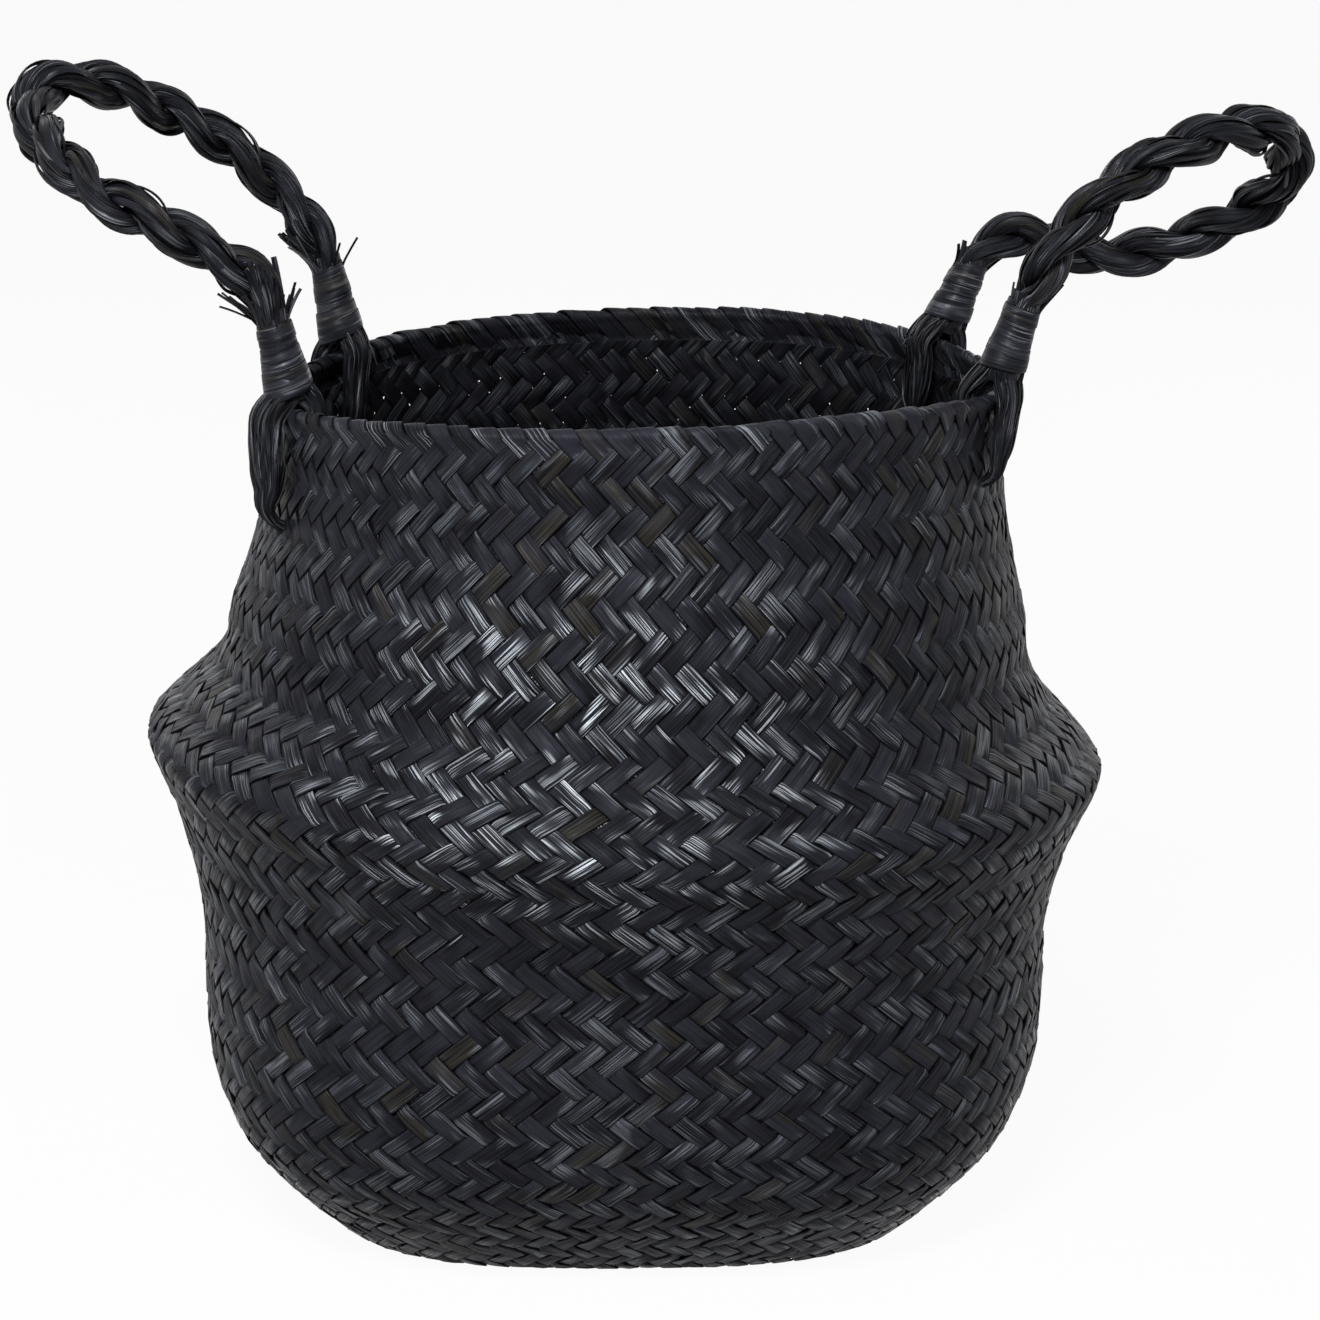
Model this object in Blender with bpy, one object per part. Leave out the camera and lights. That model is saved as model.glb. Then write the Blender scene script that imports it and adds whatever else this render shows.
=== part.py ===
"""Belly basket of dyed woven seagrass with two twisted rope handles.

The basket stands on the ground plane, its origin under the middle of the base, +X towards the
right handle and -Y towards the front. Lengths are in metres and angles in degrees.
Running this script in Blender builds one named object for each separate piece.
"""

import math

import bmesh
import bpy
import numpy as np
from mathutils import Matrix, Vector

# Body of the basket
BASE_RADIUS = 0.100
BELLY_RADIUS = 0.160
RIM_RADIUS = 0.1215
BELLY_HEIGHT = 0.1535
BODY_HEIGHT = 0.279
NECK_RISE_SHARE = 0.434
NECK_HEIGHT = BELLY_HEIGHT + (BODY_HEIGHT - BELLY_HEIGHT) * NECK_RISE_SHARE
WALL = 0.003
BASE_SQUARENESS = 3.1
BODY_SEGMENTS = 60

# Folded rim
RIM_BAND = 0.0085
RIM_ROLL = 0.0009
RIM_ROUND_STEPS = 4

# Lean and tilts of the handmade body
RIM_LEAN = 0.006
BELLY_TILT = 0.0072
RIM_TILT = 0.0036
LEFT_RIM_SAG = 0.0065
RIGHT_RIM_SAG = 0.0075

# Clearance between pieces that touch, and that of the base mat as a share of it
SEAM = 0.0003
BASE_SEAM_SHARE = 1.5

# Rope handles
HANDLE_SKEW = 5.5
FOOT_HALF_ANGLE = 25.5
AXIS_RISE = 0.0092
LEFT_AXIS_OUT = 0.0005
RIGHT_AXIS_OUT = 0.004
LEFT_AXIS_LIFT_SHARE = 0.027
HANDLE_REACH = 0.100
HANDLE_RISE = 0.084
PLY_RADIUS = 0.0042
TWIST_LENGTH = 0.046
TAPER_LENGTH = 0.014
PLY_POINTS_PER_TURN = 10

# Bound ends of the rope and the strip wound round them
BUNDLE_BOTTOM_RADIUS = 0.0064
BUNDLE_TOP_RADIUS = 0.0050
BUNDLE_LENGTH = 0.025
BUNDLE_DROP = 0.0045
BUNDLE_SIDES = 16
TUFT_LENGTH = 0.017
STRIP_WIDTH = 0.0031
STRIP_THICKNESS = 0.0011
STRIP_GAP = 0.00045
STRIP_POINTS_PER_TURN = 12

# Loops of loose fibre through the wall
LEFT_EYELET_SHARE = 0.51
RIGHT_EYELET_SHARE = 0.40
EYELET_MARGIN = 0.0005
LOOP_WIDTH = 0.0132
LOOP_THICKNESS = 0.0072
LOOP_EYE_WIDTH = 0.0086
LOOP_EYE_THICKNESS = 0.0062
LOOP_BULGE = 0.0022
CUT_OVERRUN = 0.010

# Outline of the wall below and above the belly line, as (height share, bulge share)
LOWER_OUTLINE_SHARES = (
    (0.0, 0.0), (0.036, 0.11), (0.091, 0.26), (0.182, 0.48), (0.309, 0.645), (0.473, 0.70),
    (0.636, 0.715), (0.764, 0.79), (0.873, 0.88), (0.945, 0.965), (1.0, 1.0),
)
UPPER_OUTLINE_SHARES = (
    (0.0, 1.0), (0.067, 0.83), (0.156, 0.55), (0.244, 0.36), (0.378, 0.29), (0.533, 0.165),
    (0.733, 0.035), (1.0, 0.0),
)
SQUARE_FADE_SHARE = 0.82
SQUARE_FADE_POWER = 1.5
SAG_POWER = 4

# Rope routes from the front foot to the back foot, as shares of reach, half span and rise
LEFT_ROUTE_SHARES = (
    (0.10, -1.05, 0.400), (0.19, -1.10, 0.471), (0.39, -1.13, 0.617), (0.58, -1.05, 0.710),
    (0.785, -0.68, 0.859), (0.895, -0.24, 0.952), (0.885, 0.06, 1.022), (0.785, 0.31, 1.028),
    (0.66, 0.52, 0.969), (0.49, 0.82, 0.834), (0.32, 1.00, 0.676), (0.14, 1.06, 0.460),
)
RIGHT_ROUTE_SHARES = (
    (0.103, -1.066, 0.327), (0.171, -1.078, 0.464), (0.263, -1.027, 0.583), (0.372, -0.97, 0.678),
    (0.509, -0.888, 0.763), (0.65, -0.778, 0.824), (0.802, -0.612, 0.849), (0.943, -0.385, 0.821),
    (1.02, -0.166, 0.732), (1.038, 0.074, 0.612), (0.987, 0.288, 0.497), (0.881, 0.482, 0.399),
    (0.763, 0.66, 0.315), (0.627, 0.822, 0.25), (0.483, 0.93, 0.243), (0.35, 0.985, 0.295),
    (0.225, 1.0, 0.325),
)

# Outward lean of each bound end
LASHING_LEAN = {
    "left_front": 12.0,
    "left_back": 11.0,
    "right_front": 18.0,
    "right_back": 24.0,
}

# Frayed ends of each tuft, as (face of the bundle's shoulder, lean, length share)
TUFT_SHARES = (
    (0, 28.0, 1.0), (1, 44.0, 0.7), (2, 34.0, 0.85), (3, 56.0, 0.5),
    (13, 58.0, 0.5), (14, 36.0, 0.8), (15, 46.0, 0.9),
)
TUFT_TIP_SHARE = 0.25
TUFT_SHOULDER_SHARE = 0.6
TAPER_SHARE = 0.42
END_LEAD_SHARE = 0.12
LOOP_END_SHARE = 0.42
LOOP_SLIM_SHARE = 0.7
LOOP_LEAD_SHARE = 0.4
EYELET_HEIGHT_SHARE = 1.3

# Steps along each stretch of a curve, and sections as (sides, roundness power)
ROUTE_STEPS = 12
LOOP_STEPS = 2
STRIP_SECTION = (6, 0.55)
LOOP_SECTION = (10, 1.0)
EYELET_SECTION = (12, 1.0)
SHARP_ANGLE = 50.0
MM_PER_M = 1000.0

BLACK_FIBRE = (0.018, 0.017, 0.020, 1.0)
DEEP_FIBRE = (0.010, 0.010, 0.011, 1.0)
ROPE_FIBRE = (0.014, 0.013, 0.014, 1.0)
STRIP_FIBRE = (0.020, 0.020, 0.024, 1.0)


def clear_scene():
    """Remove every object of the open file."""
    for item in list(bpy.data.objects):
        bpy.data.objects.remove(item, do_unlink=True)


def fibre_material(name, colour, roughness):
    """Dyed plant fibre: dark, slightly glossy, never metallic."""
    material = bpy.data.materials.new(name)
    material.use_nodes = True
    shader = material.node_tree.nodes["Principled BSDF"]
    shader.inputs["Base Color"].default_value = colour
    shader.inputs["Roughness"].default_value = roughness
    shader.inputs["Metallic"].default_value = 0.0
    return material


def add_object(name, data, material, parent=None):
    """Link an object, give it its material and hang it on its parent."""
    item = bpy.data.objects.new(name, data)
    bpy.context.scene.collection.objects.link(item)
    if material:
        data.materials.append(material)
    if parent:
        item.parent = parent
    return item


def add_pivot(name, place, parent=None, parent_place=Vector()):
    """An empty on a joint's axis, which carries the pieces that move there."""
    pivot = add_object(name, None, None, parent)
    pivot.location = place - parent_place
    return pivot


def finish_mesh(bm, name, material, parent=None, origin=Vector()):
    """Turn a closed bmesh in world places into an object with its origin at its pivot."""
    bmesh.ops.recalc_face_normals(bm, faces=bm.faces)
    bmesh.ops.translate(bm, verts=bm.verts, vec=-origin)
    mesh = bpy.data.meshes.new(name)
    bm.to_mesh(mesh)
    bm.free()
    mesh.shade_smooth()
    mesh.set_sharp_from_angle(angle=math.radians(SHARP_ANGLE))
    return add_object(name, mesh, material, parent)


def ease(value):
    """Smooth step from 0 to 1."""
    value = min(max(value, 0.0), 1.0)
    return value * value * (3.0 - 2.0 * value)


def outline_points():
    """The wall's outer outline as rows of radius and height, from the base to the rim."""
    lower = [
        (BASE_RADIUS + (BELLY_RADIUS - BASE_RADIUS) * bulge, BELLY_HEIGHT * height)
        for height, bulge in LOWER_OUTLINE_SHARES
    ]
    rise = BODY_HEIGHT - BELLY_HEIGHT
    upper = [
        (RIM_RADIUS + (BELLY_RADIUS - RIM_RADIUS) * bulge, BELLY_HEIGHT + rise * height)
        for height, bulge in UPPER_OUTLINE_SHARES[1:]
    ]
    return np.array(lower + upper)


def outline_radius(height):
    """Outer radius of the wall at a height."""
    points = outline_points()
    return float(np.interp(height, points[:, 1], points[:, 0]))


def outline_normal(height):
    """Outward direction of the wall in the plane of radius and height."""
    low = max(height - WALL / 2, 0.0)
    high = min(height + WALL / 2, BODY_HEIGHT)
    slope = (outline_radius(high) - outline_radius(low)) / (high - low)
    length = math.hypot(1.0, slope)
    return 1.0 / length, -slope / length


def squareness(height):
    """Exponent of the plan: a rounded square at the base, round towards the belly."""
    fade = 1.0 - height / (BELLY_HEIGHT * SQUARE_FADE_SHARE)
    return 2.0 + (BASE_SQUARENESS - 2.0) * max(fade, 0.0) ** SQUARE_FADE_POWER


def settle(point):
    """Lean and tilt a point of the true shape as the handmade body leans and tilts."""
    height = min(max(point.z, 0.0), BODY_HEIGHT)
    if height < BELLY_HEIGHT:
        belly_part = ease(height / BELLY_HEIGHT) ** 3
    else:
        belly_part = (1.0 - ease((height - BELLY_HEIGHT) / (BODY_HEIGHT - BELLY_HEIGHT))) ** 2
    rim_part = ease((height - BELLY_HEIGHT) / (BODY_HEIGHT - BELLY_HEIGHT))
    tilt = (RIM_TILT * rim_part - BELLY_TILT * belly_part) / BELLY_RADIUS
    lean = RIM_LEAN * (height / BODY_HEIGHT) ** 3
    side_part = min(abs(point.x) / RIM_RADIUS, 1.0) ** SAG_POWER
    sag = (RIGHT_RIM_SAG if point.x > 0 else LEFT_RIM_SAG) * rim_part * side_part
    return Vector((point.x + lean, point.y, point.z + tilt * point.x - sag))


def plan_ring(radius, height):
    """One ring of the body at a radius and height, settled into place."""
    power = squareness(height)
    ring = []
    for index in range(BODY_SEGMENTS):
        angle = math.tau * index / BODY_SEGMENTS
        c, s = math.cos(angle), math.sin(angle)
        reach = (abs(c) ** power + abs(s) ** power) ** (-1.0 / power)
        ring.append(settle(Vector((radius * reach * c, radius * reach * s, height))))
    return ring


def add_ring(bm, points):
    """Add a closed loop of vertices and return its edges."""
    verts = [bm.verts.new(point) for point in points]
    return [bm.edges.new((verts[i - 1], verts[i])) for i in range(len(verts))]


def ring_shell(sections):
    """A closed body turned from a closed section of radius and height."""
    bm = bmesh.new()
    rings = [add_ring(bm, plan_ring(radius, height)) for radius, height in sections]
    for first, second in zip(rings, rings[1:] + rings[:1]):
        bmesh.ops.bridge_loops(bm, edges=first + second)
    return bm


def wall_section(low, high):
    """Closed section of a wall between two heights, one wall thickness deep."""
    heights = [low] + [z for _, z in outline_points() if low + SEAM < z < high - SEAM] + [high]
    outer = []
    inner = []
    for height in heights:
        radius = outline_radius(height)
        across, up = outline_normal(height)
        outer.append((radius, height))
        inner.append((radius - across * WALL, height - up * WALL))
    return outer + inner[::-1]


def make_base_mat(material):
    """The flat mat that the basket is started from, edged to meet the wall's lower end."""
    radius = BASE_RADIUS - SEAM * BASE_SEAM_SHARE
    across, up = outline_normal(0.0)
    inset = radius - across * WALL
    bm = bmesh.new()
    sections = ((radius, 0.0), (inset, -up * WALL), (inset, WALL))
    rings = [add_ring(bm, plan_ring(size, height)) for size, height in sections]
    for first, second in zip(rings, rings[1:]):
        bmesh.ops.bridge_loops(bm, edges=first + second)
    bmesh.ops.contextual_create(bm, geom=rings[0])
    bmesh.ops.contextual_create(bm, geom=rings[-1])
    return finish_mesh(bm, "base_mat", material)


def make_wall(name, low, high, material, parent=None, origin=Vector()):
    """A band of the woven wall between two seams."""
    bm = ring_shell(wall_section(low, high))
    return finish_mesh(bm, name, material, parent, origin)


def make_rim(material, parent, origin):
    """The wall's top edge, where the strips fold over and tuck back: a thicker rounded band."""
    low = BODY_HEIGHT - RIM_BAND + SEAM / 2
    half = WALL / 2 + RIM_ROLL
    middle = outline_radius(BODY_HEIGHT) - WALL / 2
    crown = BODY_HEIGHT - half
    section = [(middle - WALL / 2, low), (middle + WALL / 2, low), (middle + half, low + RIM_ROLL)]
    for step in range(RIM_ROUND_STEPS + 1):
        angle = math.pi * step / RIM_ROUND_STEPS
        section.append((middle + half * math.cos(angle), crown + half * math.sin(angle)))
    section.append((middle - half, low + RIM_ROLL))
    return finish_mesh(ring_shell(section), "rim_border", material, parent, origin)


def handle_frame(side):
    """Outward and backward directions of a handle, side +1 right or -1 left."""
    skew = math.radians(HANDLE_SKEW)
    outward = Vector((side * math.cos(skew), math.sin(skew), 0.0))
    lift = 0.0 if side > 0 else LEFT_AXIS_LIFT_SHARE
    backward = Vector((-side * math.sin(skew), math.cos(skew), lift)).normalized()
    return outward, backward


def foot_radius():
    """Distance of a foot from the body's axis: the middle of the wall under the rim."""
    return RIM_RADIUS - WALL / 2


def half_span():
    """Half the distance between a handle's two feet."""
    return foot_radius() * math.sin(math.radians(FOOT_HALF_ANGLE))


def handle_origin(side):
    """The middle of the line through a handle's two feet, which is its swing axis."""
    outward, _ = handle_frame(side)
    chord = foot_radius() * math.cos(math.radians(FOOT_HALF_ANGLE))
    on_rim = settle(outward * chord + Vector((0.0, 0.0, BODY_HEIGHT)))
    axis_out = RIGHT_AXIS_OUT if side > 0 else LEFT_AXIS_OUT
    return on_rim + outward * axis_out + Vector((0.0, 0.0, AXIS_RISE))


def foot_place(side, end):
    """The bottom of a bound end, just under the swing axis; end -1 front or +1 back."""
    _, backward = handle_frame(side)
    on_axis = handle_origin(side) + backward * (end * half_span())
    return on_axis - foot_axis(side, end) * BUNDLE_DROP


def foot_axis(side, end):
    """Direction of a bound end, leaning outwards from the vertical."""
    outward, _ = handle_frame(side)
    lean = math.radians(LASHING_LEAN[foot_name(side, end)])
    return (outward * math.sin(lean) + Vector((0.0, 0.0, math.cos(lean)))).normalized()


def foot_name(side, end):
    """Plain name of a foot, such as left_front."""
    return ("right" if side > 0 else "left") + ("_back" if end > 0 else "_front")


def through_points(points, steps):
    """A smooth curve through points, each stretch a cubic whose ends follow their neighbours."""
    points = np.array(points)
    parts = []
    t = np.linspace(0.0, 1.0, steps, endpoint=False)[:, None]
    for a, b, c, d in zip(points, points[1:], points[2:], points[3:]):
        slope_b = (c - a) / 2
        slope_c = (d - b) / 2
        parts.append(
            b * (2 * t**3 - 3 * t**2 + 1)
            + slope_b * (t**3 - 2 * t**2 + t)
            + c * (3 * t**2 - 2 * t**3)
            + slope_c * (t**3 - t**2)
        )
    parts.append(points[-2:-1])
    return np.vstack(parts)


def spaced(curve, count):
    """The same curve with a given number of evenly spaced points, and its length."""
    steps = np.linalg.norm(np.diff(curve, axis=0), axis=1)
    travelled = np.concatenate([[0.0], np.cumsum(steps)])
    marks = np.linspace(0.0, travelled[-1], count)
    even = np.column_stack([np.interp(marks, travelled, curve[:, k]) for k in range(3)])
    return even, travelled[-1]


def rope_route(side):
    """The rope's middle line, from the top of its front bound end to that of its back one."""
    outward, backward = handle_frame(side)
    origin = handle_origin(side)
    span = half_span()
    ends = {}
    for end in (-1, 1):
        place, axis = foot_place(side, end), foot_axis(side, end)
        top = place + axis * (BUNDLE_LENGTH + SEAM + TAPER_LENGTH * END_LEAD_SHARE)
        ends[end] = (top - axis * TAPER_LENGTH, top)
    middle = [
        origin + outward * (x * HANDLE_REACH) + backward * (y * span)
        + Vector((0.0, 0.0, z * HANDLE_RISE))
        for x, y, z in (RIGHT_ROUTE_SHARES if side > 0 else LEFT_ROUTE_SHARES)
    ]
    points = [*ends[-1], *middle, *reversed(ends[1])]
    curve = through_points([tuple(point) for point in points], ROUTE_STEPS)
    _, length = spaced(curve, 2)
    count = round(length / TWIST_LENGTH * PLY_POINTS_PER_TURN)
    return spaced(curve, count)


def twisted_ply(side, phase):
    """One ply of the twist: it circles the route in a plane that never rolls about it."""
    route, length = rope_route(side)
    tangents = np.gradient(route, axis=0)
    tangents /= np.linalg.norm(tangents, axis=1)[:, None]
    tangents[0] = foot_axis(side, -1)
    tangents[-1] = -foot_axis(side, 1)
    travelled = np.linspace(0.0, length, len(route))
    to_end = np.minimum(travelled, length - travelled) / TAPER_LENGTH
    taper = TAPER_SHARE + (1.0 - TAPER_SHARE) * np.array([ease(v) for v in to_end])
    normal = Vector((0.0, 0.0, 1.0)).cross(Vector(tangents[0])).normalized()
    coil_radius = (PLY_RADIUS + SEAM / 2) / math.cos(math.pi / PLY_POINTS_PER_TURN)
    points = []
    for index, (centre, tangent) in enumerate(zip(route, tangents)):
        tangent = Vector(tangent)
        normal = (normal - tangent * normal.dot(tangent)).normalized()
        angle = phase - math.tau * travelled[index] / TWIST_LENGTH
        turned = Matrix.Rotation(angle, 3, tangent) @ normal
        points.append(Vector(centre) + turned * (coil_radius * taper[index]))
    lead = TAPER_LENGTH * END_LEAD_SHARE
    first = points[0] - Vector(tangents[0]) * lead
    last = points[-1] + Vector(tangents[-1]) * lead
    return [first, *points, last], [taper[0], *taper, taper[-1]]


def make_ply(name, side, phase, material, parent):
    """A ply as a bevelled curve with closed ends, its origin on the handle's swing axis."""
    points, taper = twisted_ply(side, phase)
    curve = bpy.data.curves.new(name, "CURVE")
    curve.dimensions = "3D"
    curve.bevel_depth = PLY_RADIUS
    curve.bevel_resolution = 2
    curve.use_fill_caps = True
    spline = curve.splines.new("POLY")
    spline.points.add(len(points) - 1)
    origin = handle_origin(side)
    for slot, point, size in zip(spline.points, points, taper):
        slot.co = (*(point - origin), 1.0)
        slot.radius = size
    return add_object(name, curve, material, parent)


def swept(bm, path, widths, thicknesses, across, section):
    """A closed tube along a path; its section is a rounded oblong, wide along across."""
    path = [Vector(point) for point in path]
    sides, power = section
    rings = []
    for index, centre in enumerate(path):
        ahead = path[min(index + 1, len(path) - 1)]
        behind = path[max(index - 1, 0)]
        tangent = (ahead - behind).normalized()
        wide = (across[index] - tangent * tangent.dot(across[index])).normalized()
        thick = tangent.cross(wide)
        ring = []
        for side in range(sides):
            angle = math.tau * (side + 0.5) / sides
            c, s = math.cos(angle), math.sin(angle)
            x = math.copysign(abs(c) ** power, c) * widths[index] / 2
            y = math.copysign(abs(s) ** power, s) * thicknesses[index] / 2
            ring.append(centre + wide * x + thick * y)
        rings.append(add_ring(bm, ring))
    for first, second in zip(rings, rings[1:]):
        bmesh.ops.bridge_loops(bm, edges=first + second)
    bmesh.ops.contextual_create(bm, geom=rings[0])
    bmesh.ops.contextual_create(bm, geom=rings[-1])


def bundle_radius(height):
    """Radius of a bound end, which narrows towards its top."""
    share = height / BUNDLE_LENGTH
    return BUNDLE_BOTTOM_RADIUS + (BUNDLE_TOP_RADIUS - BUNDLE_BOTTOM_RADIUS) * share


def foot_matrix(side, end):
    """Turns a shape drawn up Z, with +X outwards, into a bound end's direction and place."""
    axis = foot_axis(side, end)
    outward, _ = handle_frame(side)
    sideways = (outward - axis * axis.dot(outward)).normalized()
    turn = Matrix((sideways, axis.cross(sideways), axis)).transposed().to_4x4()
    return Matrix.Translation(foot_place(side, end)) @ turn


def make_bundle(side, end, material, parent):
    """The gathered end of the rope, with cut fibre ends fraying from its shoulder."""
    shoulder = BUNDLE_TOP_RADIUS * TUFT_SHOULDER_SHARE
    sections = (
        (BUNDLE_BOTTOM_RADIUS, 0.0),
        (bundle_radius(BUNDLE_LENGTH - shoulder), BUNDLE_LENGTH - shoulder),
        (BUNDLE_TOP_RADIUS - shoulder / 2, BUNDLE_LENGTH),
    )
    bm = bmesh.new()
    rings = []
    for radius, height in sections:
        turns = [math.tau * i / BUNDLE_SIDES for i in range(BUNDLE_SIDES)]
        points = [(radius * math.cos(a), radius * math.sin(a), height) for a in turns]
        rings.append(add_ring(bm, points))
    bmesh.ops.bridge_loops(bm, edges=rings[0] + rings[1])
    crown = bmesh.ops.bridge_loops(bm, edges=rings[1] + rings[2])["faces"]
    bmesh.ops.contextual_create(bm, geom=rings[0])
    bmesh.ops.contextual_create(bm, geom=rings[-1])
    bmesh.ops.recalc_face_normals(bm, faces=bm.faces)
    by_turn = sorted(crown, key=lambda face: math.atan2(*face.calc_center_median().yx))
    for index, lean, length_share in TUFT_SHARES:
        draw_fibre(bm, by_turn[index], math.radians(lean), TUFT_LENGTH * length_share)
    bmesh.ops.transform(bm, verts=bm.verts, matrix=foot_matrix(side, end))
    name = foot_name(side, end) + "_bundle"
    return finish_mesh(bm, name, material, parent, handle_origin(side))


def draw_fibre(bm, face, lean, length):
    """Draw one frayed end out of a face, leaning outwards and narrowing to its tip."""
    middle = face.calc_center_median()
    outward = Vector((middle.x, middle.y, 0.0)).normalized()
    direction = outward * math.sin(lean) + Vector((0.0, 0.0, math.cos(lean)))
    drawn = bmesh.ops.extrude_discrete_faces(bm, faces=[face])["faces"][0]
    for vert in drawn.verts:
        vert.co = middle + (vert.co - middle) * TUFT_TIP_SHARE + direction * length


def make_lashing(side, end, material, parent):
    """A flat strip wound round the bound end in one unbroken helix."""
    rise = BUNDLE_LENGTH - STRIP_WIDTH - BUNDLE_TOP_RADIUS * TUFT_SHOULDER_SHARE
    pitch = STRIP_WIDTH + STRIP_GAP
    turns = rise / pitch
    count = round(turns * STRIP_POINTS_PER_TURN) + 1
    axis = Vector((0.0, 0.0, 1.0))
    path = []
    for share in np.linspace(0.0, 1.0, count):
        height = STRIP_WIDTH / 2 + rise * share
        slack = SEAM + STRIP_THICKNESS / 2
        radius = bundle_radius(height - STRIP_WIDTH / 2) / math.cos(math.pi / BUNDLE_SIDES) + slack
        angle = math.tau * turns * share
        path.append(Vector((radius * math.cos(angle), radius * math.sin(angle), height)))
    report_least_gap(path, count)
    bm = bmesh.new()
    widths = [STRIP_WIDTH] * count
    thicknesses = [STRIP_THICKNESS] * count
    swept(bm, path, widths, thicknesses, [axis] * count, STRIP_SECTION)
    bmesh.ops.transform(bm, verts=bm.verts, matrix=foot_matrix(side, end))
    name = foot_name(side, end) + "_lashing"
    return finish_mesh(bm, name, material, parent, handle_origin(side))


def report_least_gap(path, count):
    """Print the least gap between neighbouring turns of a winding, measured on its points."""
    turn = STRIP_POINTS_PER_TURN
    gaps = [(path[i + turn] - path[i]).length - STRIP_WIDTH for i in range(count - turn)]
    if gaps:
        print("least gap between turns, mm:", round(min(gaps) * MM_PER_M, 3))


def eyelet_drop(side):
    """Depth under the rim of the holes that a handle's loops pass through."""
    share = RIGHT_EYELET_SHARE if side > 0 else LEFT_EYELET_SHARE
    return (BODY_HEIGHT - NECK_HEIGHT) * share


def eyelet_height(side):
    """Height of the holes that the loops pass through, before the body's tilt."""
    return BODY_HEIGHT - eyelet_drop(side)


def foot_angle(side, end):
    """Direction of a foot from the body's axis, in radians from +X."""
    angle = math.radians(HANDLE_SKEW + end * FOOT_HALF_ANGLE)
    return angle if side > 0 else math.pi - angle


def radial_place(side, end, radius, height):
    """A place on the upright plane through the body's axis and a foot."""
    angle = foot_angle(side, end)
    flat = Vector((radius * math.cos(angle), radius * math.sin(angle), height))
    return settle(flat)


def loop_stations(side):
    """Both legs' places below the rim, as (radius, height), outer leg first."""
    eye = eyelet_height(side)
    rim = RIM_RADIUS + RIM_ROLL
    outer = rim + LOOP_THICKNESS / 2 + LOOP_BULGE
    inner = rim - WALL - 2 * RIM_ROLL - LOOP_THICKNESS / 2 - LOOP_BULGE
    wall = outline_radius(eye) - WALL / 2
    turn = LOOP_EYE_THICKNESS
    stand = BODY_HEIGHT - LOOP_THICKNESS
    middle = (stand + eye) / 2
    return (
        (outer - LOOP_BULGE, BODY_HEIGHT), (outer, stand), (outer + LOOP_BULGE / 2, middle),
        (wall + WALL + turn, eye + turn), (wall + WALL + turn / 2, eye + turn / 8), (wall, eye),
        (wall - WALL - turn / 2, eye + turn / 8), (wall - WALL - turn, eye + turn),
        (inner, middle), (inner, stand), (inner + LOOP_BULGE, BODY_HEIGHT),
    )


def loop_path(side, end):
    """Middle line of a loop: from the bound end down outside, through the wall and back up."""
    place, axis = foot_place(side, end), foot_axis(side, end)
    angle = foot_angle(side, end)
    radial = Vector((math.cos(angle), math.sin(angle), 0.0))
    across = (radial - axis * radial.dot(axis)).normalized()
    apart = across * (BUNDLE_BOTTOM_RADIUS / 2)
    start = place - axis * SEAM
    lead = axis * (BUNDLE_DROP * LOOP_LEAD_SHARE)
    stations = [radial_place(side, end, radius, height) for radius, height in loop_stations(side)]
    outer, inner = start + apart, start - apart
    points = [outer, outer - lead, *stations, inner - lead, inner]
    curve = through_points([tuple(point) for point in points], LOOP_STEPS)
    return np.vstack([outer, curve, inner])


def loop_sizes(path, side, end):
    """Width and thickness along a loop: narrow at its ends and in the eyelet, loose between."""
    height = eyelet_height(side)
    eye = radial_place(side, end, outline_radius(height) - WALL / 2, height)
    top = foot_place(side, end)
    widths = []
    thicknesses = []
    for point in path:
        to_eye = ease((Vector(point) - eye).length / (eyelet_drop(side) / 2) - LOOP_END_SHARE)
        to_top = ease((Vector(point) - top).length / (eyelet_drop(side) / 2))
        loose = min(to_eye, 1.0)
        width = LOOP_EYE_WIDTH + (LOOP_WIDTH - LOOP_EYE_WIDTH) * loose
        thickness = LOOP_EYE_THICKNESS + (LOOP_THICKNESS - LOOP_EYE_THICKNESS) * loose
        narrow = BUNDLE_BOTTOM_RADIUS * (1.0 + LOOP_END_SHARE)
        slim = BUNDLE_BOTTOM_RADIUS * LOOP_SLIM_SHARE
        widths.append(narrow + (width - narrow) * to_top)
        thicknesses.append(min(slim * (1.0 - to_top) + thickness * to_top, thickness))
    return widths, thicknesses


def make_loop(side, end, material, parent, origin):
    """Loose fibres that straddle the rim and pass through the wall, holding the handle on."""
    path = loop_path(side, end)
    angle = foot_angle(side, end)
    tangential = Vector((-math.sin(angle), math.cos(angle), 0.0))
    widths, thicknesses = loop_sizes(path, side, end)
    bm = bmesh.new()
    swept(bm, path, widths, thicknesses, [tangential] * len(path), LOOP_SECTION)
    return finish_mesh(bm, foot_name(side, end) + "_loop", material, parent, origin)


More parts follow.
